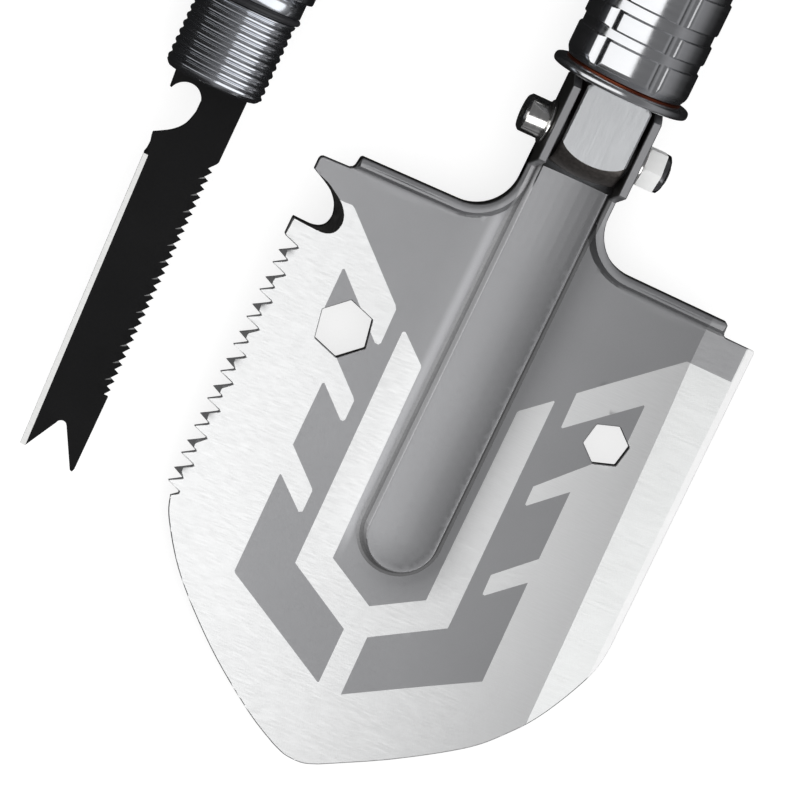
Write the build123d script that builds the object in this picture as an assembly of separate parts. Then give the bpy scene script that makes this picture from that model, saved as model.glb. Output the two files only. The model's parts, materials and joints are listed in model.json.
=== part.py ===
from build123d import *
import os
from math import asin, atan, atan2, cos, degrees, hypot, pi, radians, sin, sqrt

# A folding entrenching shovel for detecting, lying on its back, with the rear grip and its saw
# knife unscrewed and laid beside it.  Millimetres, +Z up, +Y from the blade to the handle.
#
# Three local frames are used.
# Blade frame: +X right, +Y towards the handle, +Z out of the dished face, origin on the centre
# line at shoulder level, on the back of the sheet.
# Handle frame: origin on the fold pivot, +Z along the handle, -Y towards the dished face.
# Grip frame: +Z along the grip towards its butt, +X across the knife, -Y up from the floor.

# ---- blade sheet ----
SHEET = 3.0
DISH_RADIUS = 500.0
BLADE_TIP_Y = -187.0
BLADE_HALF_WIDTH = 79.0
SHOULDER_X = 68.0
LIP_END_X = 66.5
LIP_Y = 4.9
FLANGE_RISE = 2.5
NECK_HALF_WIDTH = 16.0
NECK_FILLET = 15.0
EAR_THICK = 2.9
NECK_END_Y = 34.0

# ---- stamped rib ----
RIB_HALF_WIDTH = 12.0
RIB_RISE = 6.0
RIB_END_Y = -103.5

# ---- saw edge: each pair has a deep and a shallow gullet ----
TOOTH_PAIRS = 9
TOOTH_PITCH = 9.92
TOOTH_TOP_Y = -30.9
TOOTH_TIP_X = -78.0
DEEP_GULLET_X = -72.5
SHALLOW_GULLET_X = -74.0

# ---- ground edge on the right ----
BEVEL_TOP_X = 61.0
BEVEL_BOTTOM_X = 64.8
EDGE_LAND = 0.5

# ---- wrench holes, across flats ----
BIG_HEX = 17.0
BIG_HEX_AT = (-46.9, -49.3)
BIG_HEX_TURN = 41.0
SMALL_HEX = 13.0
SMALL_HEX_AT = (48.3, -48.6)
SMALL_HEX_TURN = 19.0

# ---- fold pivot ----
PIVOT_Y = 40.5
PIVOT_Z = 8.2
EAR_TOP = 10.6
EAR_END_RADIUS = 18.7
EAR_FOOT_Y = 25.1
EAR_SHOULDER_Y = 29.3
KNUCKLE_SWEEP = 12.3
FOLD_CLEARANCE = 0.5
BOLT_RADIUS = 4.0
BUSH_WALL = 1.5
RUNNING = 0.05
HEAD_RADIUS = 6.5
HEAD_LENGTH = 8.0
NUT_FLATS = 13.0
NUT_LENGTH = 8.6
WASHER_RADIUS = 7.6
WASHER_THICK = 1.4

# ---- knuckle, thrust ring and locking collar ----
KNUCKLE_HALF_WIDTH = 11.5
KNUCKLE_BACK = 7.4
KNUCKLE_CROWN = 46.0
SHANK_RADIUS = 14.0
SHANK_END = 56.0
SPIGOT_RADIUS = 10.0
STOP_RING_RADIUS = 15.6
STOP_RING_THICK = 1.2
STOP_GROOVE_DEPTH = 1.0
RING_RADIUS = 23.85
RING_THICK = 3.5
RING_FRONT = 19.05
WASHER_GAP = 0.65
COLLAR_RADIUS = 21.4
COLLAR_LENGTH = 52.0
COLLAR_THREAD_LENGTH = 22.0
COLLAR_GROOVES = ((11.1, 4.0), (21.1, 4.5), (36.0, 4.5))
COLLAR_GROOVE_DEPTH = 0.8
FLUTES = 6
FLUTE_RADIUS = 3.0
FLUTE_DEPTH = 0.8
FLUTE_TURN = 14.1

# ---- front tube ----
TUBE_RADIUS = 19.0
TUBE_BORE = 16.3
TUBE_START = 57.0
TUBE_LENGTH = 190.0
TUBE_THREAD_BORE = 17.0
TUBE_THREAD_LENGTH = 32.0
PLUG_LENGTH = 26.0
PIN_RADIUS = 2.0
TUBE_GROOVE_STARTS = (26.0, 150.0)

# ---- rear grip, its threaded holder and the knife ----
GRIP_X = -120.9
GRIP_Y = 0.8
THREAD_RADIUS = 16.9
THREAD_START = 4.6
THREAD_END = 33.0
THREAD_PITCH = 2.6
THREAD_TURNS = 9
THREAD_DEPTH = 0.7
HOLDER_NECK_RADIUS = 15.6
HOLDER_LAND = (35.2, 41.0)
HOLDER_PLUG_END = 62.0
FERRULE_LENGTH = 8.0
GRIP_TUBE_LENGTH = 88.0
GRIP_TUBE_RADIUS = 18.8
GRIP_BORE = 16.5
KNIFE_THICK = 2.6
KNIFE_TIP = -128.8
KNIFE_TEETH = 27
KNIFE_TOOTH_PITCH = 3.0
KNIFE_TOOTH_TOP = -20.5
TANG_END = 24.0
CAP_RADIUS = 18.5
CAP_SEAL_THICK = 1.6
CAP_BODY = 16.0
CAP_SPIGOT = 12.0
LANYARD_RADIUS = 2.5

BOTH_SIDES = (-1, 1)
LOW = (Align.CENTER, Align.CENTER, Align.MIN)
X_AXIS_UP = Rot(0, 90, 0)


def ring_solid(outer, inner, start, length):
    """A plain ring about local Z."""
    body = Pos(0, 0, start) * Cylinder(outer, length, align=LOW)
    return body - Pos(0, 0, start - 1) * Cylinder(inner, length + 2, align=LOW)


def turned(points):
    """A solid turned about local Z from (radius, height) points."""
    return revolve(Plane.XZ * make_face(Polyline(*points, close=True)), axis=Axis.Z)


def across(radius, length, x=0.0):
    """A cylinder along X, centred on x."""
    return Pos(x, 0, 0) * X_AXIS_UP * Cylinder(radius, length)


def dished(thick):
    """The curved layer that the sheet is pressed from, measured up from its back."""
    span = 2 * abs(BLADE_TIP_Y) + 80
    outer = Cylinder(DISH_RADIUS, span) - Cylinder(DISH_RADIUS - thick, span)
    return Pos(0, 0, DISH_RADIUS) * Rot(90, 0, 0) * outer


def dish_rise(x):
    """Height of the sheet's back at x."""
    return DISH_RADIUS - sqrt(DISH_RADIUS**2 - x * x)


# ---------------------------------------------------------------- blade
def saw_points():
    """The saw edge from the hook's tab down to the plain edge."""
    points = []
    for pair in range(TOOTH_PAIRS):
        top = TOOTH_TOP_Y - pair * TOOTH_PITCH
        points += [
            (DEEP_GULLET_X, top),
            (TOOTH_TIP_X, top - 3.1),
            (SHALLOW_GULLET_X, top - 5.1),
            (TOOTH_TIP_X, top - 7.5),
        ]
    points.append((DEEP_GULLET_X - 0.5, TOOTH_TOP_Y - TOOTH_PAIRS * TOOTH_PITCH))
    return points


def shoulder(side):
    """The top edge of one wing, from the neck out to the corner of the blade."""
    fillet_x = NECK_HALF_WIDTH + NECK_FILLET
    fillet_y = LIP_Y + NECK_FILLET
    corner = NECK_FILLET * (1 - cos(pi / 4))
    up = Line((side * NECK_HALF_WIDTH, NECK_END_Y), (side * NECK_HALF_WIDTH, fillet_y))
    bend = ThreePointArc(
        (side * NECK_HALF_WIDTH, fillet_y),
        (side * (NECK_HALF_WIDTH + corner), LIP_Y + corner),
        (side * fillet_x, LIP_Y),
    )
    lip = Polyline(
        (side * fillet_x, LIP_Y),
        (side * LIP_END_X, LIP_Y),
        (side * (LIP_END_X + 0.5), 0.8),
        (side * SHOULDER_X, 0.0),
    )
    return up + bend + lip


def blade_outline():
    left = -BLADE_HALF_WIDTH
    right = BLADE_HALF_WIDTH
    saw = saw_points()
    top = Line((-NECK_HALF_WIDTH, NECK_END_Y), (NECK_HALF_WIDTH, NECK_END_Y))
    horn = Polyline((-SHOULDER_X, 0), (left + 1.5, 0), (left, -1.5), (left, -5.0), (-72.0, -8.9))
    hook = ThreePointArc((-72.0, -8.9), (-66.4, -16.4), (-71.5, -22.3))
    tab = Polyline((-71.5, -22.3), (left + 0.5, -21.9), (left + 0.5, -28.4), *saw, (-75.4, -122.0))
    left_curve = Spline((-75.4, -122.0), (-60.0, -146.0), (-30.0, -171.5), (-6.0, -185.6))
    tip = ThreePointArc((-6.0, -185.6), (0.5, BLADE_TIP_Y), (8.0, -185.4))
    right_curve = Spline((8.0, -185.4), (30.0, -173.5), (60.0, -150.0), (77.0, -121.0), (right, -108.0))
    edge = Polyline((right, -108.0), (right, -0.6), (right - 0.6, 0.0), (SHOULDER_X, 0.0))
    return top + shoulder(-1) + horn + hook + tab + left_curve + tip + right_curve + edge + shoulder(1)


def flange_strip():
    """The strip of the top edge that is bent up, as a plan outline for both wings."""
    strip = None
    inner_x = NECK_HALF_WIDTH - EAR_THICK
    for side in BOTH_SIDES:
        outline = shoulder(side)
        fillet_x = NECK_HALF_WIDTH + NECK_FILLET
        fillet_y = LIP_Y + NECK_FILLET
        corner = (NECK_FILLET + EAR_THICK) * (1 - cos(pi / 4))
        inner = Line((side * (LIP_END_X + 0.3), LIP_Y - EAR_THICK), (side * fillet_x, LIP_Y - EAR_THICK))
        inner += ThreePointArc(
            (side * fillet_x, LIP_Y - EAR_THICK),
            (side * (inner_x + corner), LIP_Y - EAR_THICK + corner),
            (side * inner_x, fillet_y),
        )
        inner += Polyline(
            (side * inner_x, fillet_y),
            (side * inner_x, EAR_SHOULDER_Y),
            (side * NECK_HALF_WIDTH, EAR_SHOULDER_Y),
        )
        outer = Polyline(
            (side * NECK_HALF_WIDTH, EAR_SHOULDER_Y),
            (side * NECK_HALF_WIDTH, fillet_y),
        )
        outer += outline.edges()[1]
        outer += Polyline(
            (side * fillet_x, LIP_Y),
            (side * LIP_END_X, LIP_Y),
            (side * (LIP_END_X + 0.3), LIP_Y - EAR_THICK),
        )
        face = make_face(inner + outer)
        strip = face if strip is None else strip + face
    return strip


def ear(side):
    """One clevis ear: a plate whose end is round about the pivot."""
    top = PIVOT_Z + EAR_TOP
    end_top = PIVOT_Y + sqrt(EAR_END_RADIUS**2 - EAR_TOP**2)
    end_low = PIVOT_Y + sqrt(EAR_END_RADIUS**2 - PIVOT_Z**2)
    flange_top = SHEET + FLANGE_RISE
    profile = Polyline((end_low, 0), (EAR_FOOT_Y - 8, 0), (EAR_FOOT_Y - 8, flange_top))
    profile += Polyline((EAR_FOOT_Y - 8, flange_top), (EAR_FOOT_Y, flange_top))
    profile += Polyline((EAR_FOOT_Y, flange_top), (EAR_SHOULDER_Y, top), (end_top, top))
    profile += ThreePointArc((end_top, top), (PIVOT_Y + EAR_END_RADIUS, PIVOT_Z), (end_low, 0))
    plate = extrude(Plane.YZ * make_face(profile), EAR_THICK)
    start = NECK_HALF_WIDTH - EAR_THICK if side > 0 else -NECK_HALF_WIDTH
    return Pos(start, 0, 0) * plate


def rib(radius_cut):
    """The stamped rib as a round bar with a ball end, thinner by radius_cut."""
    radius = (RIB_HALF_WIDTH**2 + RIB_RISE**2) / (2 * RIB_RISE)
    middle = SHEET + RIB_RISE - radius
    length = NECK_END_Y + 6 - RIB_END_Y
    bar = Rot(-90, 0, 0) * Cylinder(radius - radius_cut, length, align=LOW)
    return Pos(0, RIB_END_Y, middle) * (bar + Sphere(radius - radius_cut))


def hex_hole(at, flats, turn):
    hexagon = RegularPolygon(flats / sqrt(3), 6, rotation=turn)
    return Pos(at[0], at[1], -5) * extrude(hexagon, 40)


def ground_edge():
    """Everything above the ground face on the right, as a wedge to cut away."""
    top = (BEVEL_TOP_X, dish_rise(BEVEL_TOP_X) + SHEET)
    edge = (BLADE_HALF_WIDTH, dish_rise(BLADE_HALF_WIDTH) + EDGE_LAND)
    slope = (edge[1] - top[1]) / (edge[0] - top[0])
    far = BLADE_HALF_WIDTH + 8
    wedge = make_face(
        Polyline(top, (far, top[1] + slope * (far - top[0])), (far, 40), (top[0], 40), close=True)
    )
    length = abs(BLADE_TIP_Y) + 10
    solid = extrude(Plane.XZ * wedge, length)
    lean = degrees(atan((BEVEL_BOTTOM_X - BEVEL_TOP_X) / 141.0))
    about = Pos(BEVEL_TOP_X, 0, 0)
    return about * Rot(0, 0, lean) * about.inverse() * Pos(0, 3, 0) * solid


def hook_bevel():
    """The slanted sharpening of the hook, wider on the dished face than on the back."""
    rise = dish_rise(70.0)
    back = Pos(-72.4, -16.0, rise) * Circle(6.0)
    front = Pos(-69.3, -16.6, rise + SHEET + 1.5) * Circle(6.9)
    return loft([back, front])


def shovel_blade():
    plan = extrude(make_face(blade_outline()), 40)
    sheet = plan & dished(SHEET)
    flange = extrude(flange_strip(), 40) & dished(SHEET + FLANGE_RISE)
    above_back = Pos(0, 0, 0.4) * Box(60, 400, 40, align=LOW)
    body = sheet + flange + (rib(0) & above_back & plan) - rib(SHEET)
    body -= Pos(0, PIVOT_Y, PIVOT_Z) * across(KNUCKLE_SWEEP + FOLD_CLEARANCE, 2 * NECK_HALF_WIDTH + 2)
    body += ear(-1) + ear(1)
    body -= Pos(0, PIVOT_Y, PIVOT_Z) * across(BOLT_RADIUS, 60)
    body -= hex_hole(BIG_HEX_AT, BIG_HEX, BIG_HEX_TURN)
    body -= hex_hole(SMALL_HEX_AT, SMALL_HEX, SMALL_HEX_TURN)
    body -= ground_edge()
    return body - hook_bevel()


# ---------------------------------------------------------------- fold pivot
def pivot_bolt():
    """Head on the left ear, shank across the clevis to the nut."""
    head_x = -(NECK_HALF_WIDTH + WASHER_THICK)
    reach = NECK_HALF_WIDTH + WASHER_THICK + NUT_LENGTH + 0.6
    head = Pos(head_x - HEAD_LENGTH / 2, 0, 0) * X_AXIS_UP * Cylinder(HEAD_RADIUS, HEAD_LENGTH)
    head = chamfer(head.edges().filter_by(GeomType.CIRCLE).sort_by(Axis.X)[0], 0.9)
    socket = Pos(head_x - HEAD_LENGTH, 0, 0) * X_AXIS_UP * extrude(RegularPolygon(5 / sqrt(3), 6), 8, both=True)
    shank = across(BOLT_RADIUS, reach - head_x, (reach + head_x) / 2)
    return head - (socket & Pos(head_x - HEAD_LENGTH, 0, 0) * Box(8, 20, 20)) + shank


def pivot_nut():
    start = NECK_HALF_WIDTH + WASHER_THICK
    prism = Pos(start, 0, 0) * X_AXIS_UP * extrude(RegularPolygon(NUT_FLATS / sqrt(3), 6, rotation=30), NUT_LENGTH)
    corner = NUT_FLATS / sqrt(3)
    dome = Pos(start, 0, 0) * X_AXIS_UP * turned(
        [(0, 0), (corner + 0.2, 0), (corner + 0.2, NUT_LENGTH - 2.6), (NUT_FLATS / 2 - 0.4, NUT_LENGTH), (0, NUT_LENGTH)]
    )
    return (prism & dome) - across(BOLT_RADIUS, 80)


def pivot_washers():
    """One washer under the head and one under the nut."""
    x = NECK_HALF_WIDTH + WASHER_THICK / 2
    pair = [across(WASHER_RADIUS, WASHER_THICK, side * x) - across(BOLT_RADIUS, 80) for side in BOTH_SIDES]
    return pair[0] + pair[1]


def pivot_spacers():
    """Thin plastic discs that keep the knuckle off the ears."""
    gap = NECK_HALF_WIDTH - EAR_THICK - KNUCKLE_HALF_WIDTH
    thick = gap - RUNNING
    x = NECK_HALF_WIDTH - EAR_THICK - thick / 2
    pair = [across(7.0, thick, side * x) - across(BOLT_RADIUS, 80) for side in BOTH_SIDES]
    return pair[0] + pair[1]


# ---------------------------------------------------------------- knuckle and collar, handle frame
def knuckle_crown():
    """The barrel about the pivot that rounds the knuckle's free end."""
    half = KNUCKLE_HALF_WIDTH + 1
    drop = KNUCKLE_CROWN - sqrt(KNUCKLE_CROWN**2 - half**2)
    arc = ThreePointArc((-half, KNUCKLE_SWEEP - drop), (0, KNUCKLE_SWEEP), (half, KNUCKLE_SWEEP - drop))
    sides = Polyline((half, KNUCKLE_SWEEP - drop), (half, 0), (-half, 0), (-half, KNUCKLE_SWEEP - drop))
    return revolve(make_face(arc + sides), axis=Axis.X)


def neck_knuckle():
    """The block between the ears, with the shank that carries the collar and the tube."""
    length = RING_FRONT + KNUCKLE_SWEEP
    block = Pos(0, (KNUCKLE_BACK - EAR_TOP) / 2, -KNUCKLE_SWEEP) * Box(
        2 * KNUCKLE_HALF_WIDTH, KNUCKLE_BACK + EAR_TOP, length, align=LOW
    )
    end = knuckle_crown() + Box(60, 60, 40, align=LOW)
    shank = Pos(0, 0, RING_FRONT - 0.5) * Cylinder(SHANK_RADIUS, SHANK_END - RING_FRONT + 0.5, align=LOW)
    inside_ears = Box(2 * KNUCKLE_HALF_WIDTH, 60, 2 * RING_FRONT) + Pos(0, 0, RING_FRONT) * Box(60, 60, 90, align=LOW)
    spigot = Pos(0, 0, SHANK_END) * Cylinder(SPIGOT_RADIUS, PLUG_LENGTH, align=LOW)
    body = (block & end) + (shank & inside_ears) + spigot - collar_stop_ring()
    return body - across(BOLT_RADIUS + RUNNING + BUSH_WALL, 60) - tube_pin_bar()


def collar_stop_ring():
    """The snap ring in the shank's groove that ends the collar's travel."""
    start = SHANK_END - 0.3 - STOP_RING_THICK
    return ring_solid(STOP_RING_RADIUS, SHANK_RADIUS - STOP_GROOVE_DEPTH, start, STOP_RING_THICK)


def pivot_bush():
    """The plain bronze bush in the knuckle."""
    width = 2 * KNUCKLE_HALF_WIDTH
    return across(BOLT_RADIUS + RUNNING + BUSH_WALL, width) - across(BOLT_RADIUS + RUNNING, width + 2)


def thrust_ring():
    """The flange that bears on the ear ends, with a full round rim."""
    round_radius = RING_THICK / 2
    rim = RING_RADIUS - round_radius
    disc = ring_solid(rim, SHANK_RADIUS + RUNNING, RING_FRONT, RING_THICK)
    return disc + Pos(0, 0, RING_FRONT + round_radius) * Torus(rim, round_radius)


def thrust_washer():
    start = RING_FRONT + RING_THICK
    return ring_solid(COLLAR_RADIUS + 0.3, SHANK_RADIUS + RUNNING, start, WASHER_GAP - RUNNING)


def locking_collar():
    """The knurled nut: grooves round it, flutes along it, a deep bore that covers the tube."""
    start = RING_FRONT + RING_THICK + WASHER_GAP
    groove = COLLAR_RADIUS - COLLAR_GROOVE_DEPTH
    profile = [(SHANK_RADIUS + RUNNING, 0), (COLLAR_RADIUS - 1.5, 0), (COLLAR_RADIUS, 3.2)]
    for at, width in COLLAR_GROOVES:
        profile += [(COLLAR_RADIUS, at), (groove, at + 0.4), (groove, at + width - 0.4), (COLLAR_RADIUS, at + width)]
    profile += [
        (COLLAR_RADIUS, COLLAR_LENGTH - 1.2),
        (COLLAR_RADIUS - 1.2, COLLAR_LENGTH),
        (TUBE_RADIUS + 0.4, COLLAR_LENGTH),
        (TUBE_RADIUS + 0.4, COLLAR_THREAD_LENGTH),
        (SHANK_RADIUS + RUNNING, COLLAR_THREAD_LENGTH),
    ]
    body = turned(profile)
    offset = COLLAR_RADIUS - FLUTE_DEPTH + FLUTE_RADIUS
    for index in range(FLUTES):
        turn = Rot(0, 0, FLUTE_TURN + index * 360 / FLUTES - 90)
        body -= turn * Pos(offset, 0, -1) * Cylinder(FLUTE_RADIUS, COLLAR_LENGTH + 2, align=LOW)
    return Pos(0, 0, start) * body


# ---------------------------------------------------------------- front tube, handle frame
def tube_pin_bar():
    """The cross pin's line through tube, plug and spigot."""
    return Pos(0, 0, TUBE_START + PLUG_LENGTH * 0.75) * Rot(90, 0, 0) * Cylinder(PIN_RADIUS, 2 * TUBE_RADIUS - 1.0)


def tube_plug():
    plug = ring_solid(TUBE_BORE, SPIGOT_RADIUS, SHANK_END + 0.2, PLUG_LENGTH - 0.2)
    return plug - tube_pin_bar()


def tube_pin():
    return tube_pin_bar()


def front_tube():
    """The tube that the collar overlaps in front and that the knife holder screws into behind."""
    end = TUBE_START + TUBE_LENGTH
    body = ring_solid(TUBE_RADIUS, TUBE_BORE, TUBE_START, TUBE_LENGTH)
    outer_rim = body.edges().filter_by(GeomType.CIRCLE).sort_by(Axis.Z)[-2:]
    body = chamfer(outer_rim.sort_by(SortBy.RADIUS)[-1], 0.8)
    body -= Pos(0, 0, end - TUBE_THREAD_LENGTH) * Cylinder(TUBE_THREAD_BORE, TUBE_THREAD_LENGTH + 1, align=LOW)
    for start in TUBE_GROOVE_STARTS:
        for index in range(3):
            at = TUBE_START + start + index * 4.0
            body -= ring_solid(TUBE_RADIUS + 2, TUBE_RADIUS - 0.6, at, 1.6)
    return body - tube_pin_bar()


# ---------------------------------------------------------------- knife and grip, grip frame
def knife_outline():
    hook = ThreePointArc((-12.0, -1.4), (-6.2, 2.3), (-0.8, -2.2)) + Spline((-0.8, -2.2), (-1.0, -8.6), (-10.8, -17.0))
    left = Polyline((-10.8, -17.0), (-10.2, -22.5), (-10.7, -24.0), (-7.3, -127.0), (-5.7, -127.0), (0.6, -115.8))
    notch = ThreePointArc((0.6, -115.8), (2.35, -114.5), (4.1, -115.8))
    right_points = [(4.1, -115.8), (11.5, KNIFE_TIP), (12.3, -127.5)]
    foot = KNIFE_TOOTH_TOP - KNIFE_TEETH * KNIFE_TOOTH_PITCH
    right_points += [(12.3, foot), (10.5, foot)]
    for index in reversed(range(KNIFE_TEETH)):
        top = KNIFE_TOOTH_TOP - index * KNIFE_TOOTH_PITCH
        right_points += [(12.3, top - 0.8), (10.4, top)]
    right_points += [(12.8, -17.0), (12.8, 4.4), (10.0, 4.4), (10.0, TANG_END), (-10.0, TANG_END), (-10.0, 4.4)]
    right_points += [(-12.5, 4.4), (-12.0, -1.4)]
    return hook + left + notch + Polyline(*right_points)


def knife_blade():
    """The saw knife, ground from both faces along its left edge."""
    blade = extrude(Plane.XZ * make_face(knife_outline()), KNIFE_THICK / 2, both=True)
    half = KNIFE_THICK / 2
    lean = degrees(atan(3.4 / 103.0))
    for side in BOTH_SIDES:
        grind = Polyline((-8.6, side * half), (-11.2, side * 0.15), (-14, 0), (-14, side * 6), (-8.6, side * 6), close=True)
        cutter = Pos(0, 0, -122) * extrude(make_face(grind), 96)
        about = Pos(-8.6, 0, -26)
        blade -= about * Rot(0, -lean, 0) * about.inverse() * cutter
    return blade - knife_pin_bars()


def knife_pin_bars():
    """Two pins through the holder and the knife's tang."""
    bars = [Pos(side * 5.5, 0, 15.0) * Rot(90, 0, 0) * Cylinder(1.5, 24.0) for side in BOTH_SIDES]
    return bars[0] + bars[1]


def knife_holder():
    """The threaded plug that carries the knife and closes the front of the grip."""
    profile = [(0, THREAD_START), (13.0, THREAD_START), (14.8, THREAD_START + 1.6), (16.2, THREAD_START + 4.4)]
    first = THREAD_START + 5.2
    for index in range(THREAD_TURNS):
        at = first + index * THREAD_PITCH
        root = THREAD_RADIUS - THREAD_DEPTH
        profile += [(THREAD_RADIUS, at), (THREAD_RADIUS, at + 1.0), (root, at + 1.6), (root, at + 2.0)]
    land_start, land_end = HOLDER_LAND
    profile += [
        (HOLDER_NECK_RADIUS, THREAD_END),
        (HOLDER_NECK_RADIUS, land_start),
        (17.1, land_start),
        (17.1, land_end),
        (GRIP_BORE, land_end),
        (GRIP_BORE, HOLDER_PLUG_END),
        (0, HOLDER_PLUG_END),
    ]
    slot = Pos(0, 0, THREAD_START - 1) * Box(20.1, KNIFE_THICK, TANG_END - THREAD_START + 1.1, align=LOW)
    return turned(profile) - slot - knife_pin_bars()


def holder_o_ring():
    """The seal behind the thread."""
    radius = (HOLDER_LAND[0] - THREAD_END) / 2
    return Pos(0, 0, THREAD_END + radius) * Torus(HOLDER_NECK_RADIUS + radius, radius)


def grip_ferrule():
    start = HOLDER_LAND[1]
    profile = [
        (GRIP_BORE, start),
        (TUBE_RADIUS - 0.8, start),
        (TUBE_RADIUS, start + 0.8),
        (TUBE_RADIUS, start + FERRULE_LENGTH),
        (GRIP_BORE, start + FERRULE_LENGTH),
    ]
    return turned(profile)


def grip_tube():
    start = HOLDER_LAND[1] + FERRULE_LENGTH
    body = ring_solid(GRIP_TUBE_RADIUS, GRIP_BORE, start, GRIP_TUBE_LENGTH)
    for index in range(3):
        for at in (start + 6 + index * 4.0, start + GRIP_TUBE_LENGTH - 16 + index * 4.0):
            body -= ring_solid(GRIP_TUBE_RADIUS + 2, GRIP_TUBE_RADIUS - 0.6, at, 1.6)
    return body


def cap_start():
    return HOLDER_LAND[1] + FERRULE_LENGTH + GRIP_TUBE_LENGTH


def cap_o_ring():
    return ring_solid(GRIP_TUBE_RADIUS - 0.5, GRIP_BORE - 1.4 + RUNNING, cap_start(), CAP_SEAL_THICK)


def butt_cap():
    """The screwed end cap, with a hole across it for a lanyard."""
    base = cap_start() + CAP_SEAL_THICK
    neck = GRIP_BORE - 1.4
    spigot = GRIP_BORE - RUNNING
    profile = [
        (0, cap_start() - CAP_SPIGOT),
        (spigot - 0.8, cap_start() - CAP_SPIGOT),
        (spigot, cap_start() - CAP_SPIGOT + 0.8),
        (spigot, cap_start() - 1.0),
        (neck, cap_start() - 1.0),
        (neck, base),
        (CAP_RADIUS - 0.8, base),
        (CAP_RADIUS, base + 0.8),
        (CAP_RADIUS, base + CAP_BODY - 5.0),
        (CAP_RADIUS - 1.5, base + CAP_BODY - 2.0),
        (CAP_RADIUS - 5.0, base + CAP_BODY),
        (0, base + CAP_BODY),
    ]
    hole = Pos(0, 0, base + CAP_BODY / 2) * across(LANYARD_RADIUS, 60)
    return turned(profile) - hole


# ---------------------------------------------------------------- placing
def resting_tilt():
    """Tilt at which the ring's rim and the blade's tip both touch the floor."""
    rim_round = RING_THICK / 2
    run = PIVOT_Y + RING_FRONT + rim_round - BLADE_TIP_Y
    drop = RING_RADIUS - rim_round - PIVOT_Z
    return asin(rim_round / hypot(run, drop)) + atan2(drop, run)


TILT = degrees(resting_tilt())
BLADE_LIFT = -BLADE_TIP_Y * sin(radians(TILT))

BLADE_FRAME = Pos(0, 0, BLADE_LIFT) * Rot(TILT, 0, 0)
PIVOT_FRAME = BLADE_FRAME * Pos(0, PIVOT_Y, PIVOT_Z)
HANDLE_FRAME = PIVOT_FRAME * Rot(-90, 0, 0)
GRIP_FRAME = Pos(GRIP_X, GRIP_Y, TUBE_RADIUS) * Rot(-90, 0, 0)

PIECES = {
    "shovel_blade": (BLADE_FRAME, shovel_blade),
    "pivot_bolt": (PIVOT_FRAME, pivot_bolt),
    "pivot_nut": (PIVOT_FRAME, pivot_nut),
    "pivot_washers": (PIVOT_FRAME, pivot_washers),
    "pivot_spacers": (PIVOT_FRAME, pivot_spacers),
    "neck_knuckle": (HANDLE_FRAME, neck_knuckle),
    "pivot_bush": (HANDLE_FRAME, pivot_bush),
    "thrust_ring": (HANDLE_FRAME, thrust_ring),
    "thrust_washer": (HANDLE_FRAME, thrust_washer),
    "locking_collar": (HANDLE_FRAME, locking_collar),
    "collar_stop_ring": (HANDLE_FRAME, collar_stop_ring),
    "tube_plug": (HANDLE_FRAME, tube_plug),
    "tube_pin": (HANDLE_FRAME, tube_pin),
    "front_tube": (HANDLE_FRAME, front_tube),
    "knife_blade": (GRIP_FRAME, knife_blade),
    "knife_holder": (GRIP_FRAME, knife_holder),
    "knife_pins": (GRIP_FRAME, knife_pin_bars),
    "holder_o_ring": (GRIP_FRAME, holder_o_ring),
    "grip_ferrule": (GRIP_FRAME, grip_ferrule),
    "grip_tube": (GRIP_FRAME, grip_tube),
    "cap_o_ring": (GRIP_FRAME, cap_o_ring),
    "butt_cap": (GRIP_FRAME, butt_cap),
}

placed = {name: frame * make() for name, (frame, make) in PIECES.items()}
boxes = [piece.bounding_box() for piece in placed.values()]
LOW_CORNER = [min(getattr(box.min, axis) for box in boxes) for axis in "XYZ"]
HIGH_CORNER = [max(getattr(box.max, axis) for box in boxes) for axis in "XYZ"]
ORIGIN = Pos((LOW_CORNER[0] + HIGH_CORNER[0]) / 2, (LOW_CORNER[1] + HIGH_CORNER[1]) / 2, LOW_CORNER[2])

os.makedirs("parts", exist_ok=True)
for name, piece in placed.items():
    export_step(ORIGIN.inverse() * piece, f"parts/{name}.step")
print("box", LOW_CORNER, HIGH_CORNER, "tilt", TILT)
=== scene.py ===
import json
import math

import bmesh
import bpy
from mathutils import Matrix, Vector
from mathutils.geometry import delaunay_2d_cdt


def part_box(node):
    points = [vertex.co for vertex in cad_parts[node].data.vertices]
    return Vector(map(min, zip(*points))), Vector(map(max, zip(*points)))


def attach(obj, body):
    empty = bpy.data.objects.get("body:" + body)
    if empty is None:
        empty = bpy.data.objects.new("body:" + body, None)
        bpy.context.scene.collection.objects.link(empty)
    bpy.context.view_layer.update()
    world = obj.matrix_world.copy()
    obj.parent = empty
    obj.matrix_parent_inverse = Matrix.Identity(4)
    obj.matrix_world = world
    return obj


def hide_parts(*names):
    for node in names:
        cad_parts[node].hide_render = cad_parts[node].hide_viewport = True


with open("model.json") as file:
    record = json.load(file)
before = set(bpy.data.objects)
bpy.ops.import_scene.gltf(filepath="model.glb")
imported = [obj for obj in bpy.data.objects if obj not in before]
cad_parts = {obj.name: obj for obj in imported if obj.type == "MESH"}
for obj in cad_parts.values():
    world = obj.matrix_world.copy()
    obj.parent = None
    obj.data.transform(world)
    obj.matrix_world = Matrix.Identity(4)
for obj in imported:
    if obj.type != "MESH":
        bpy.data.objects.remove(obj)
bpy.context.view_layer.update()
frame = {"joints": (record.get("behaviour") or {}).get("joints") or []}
MM = 0.001

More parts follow.
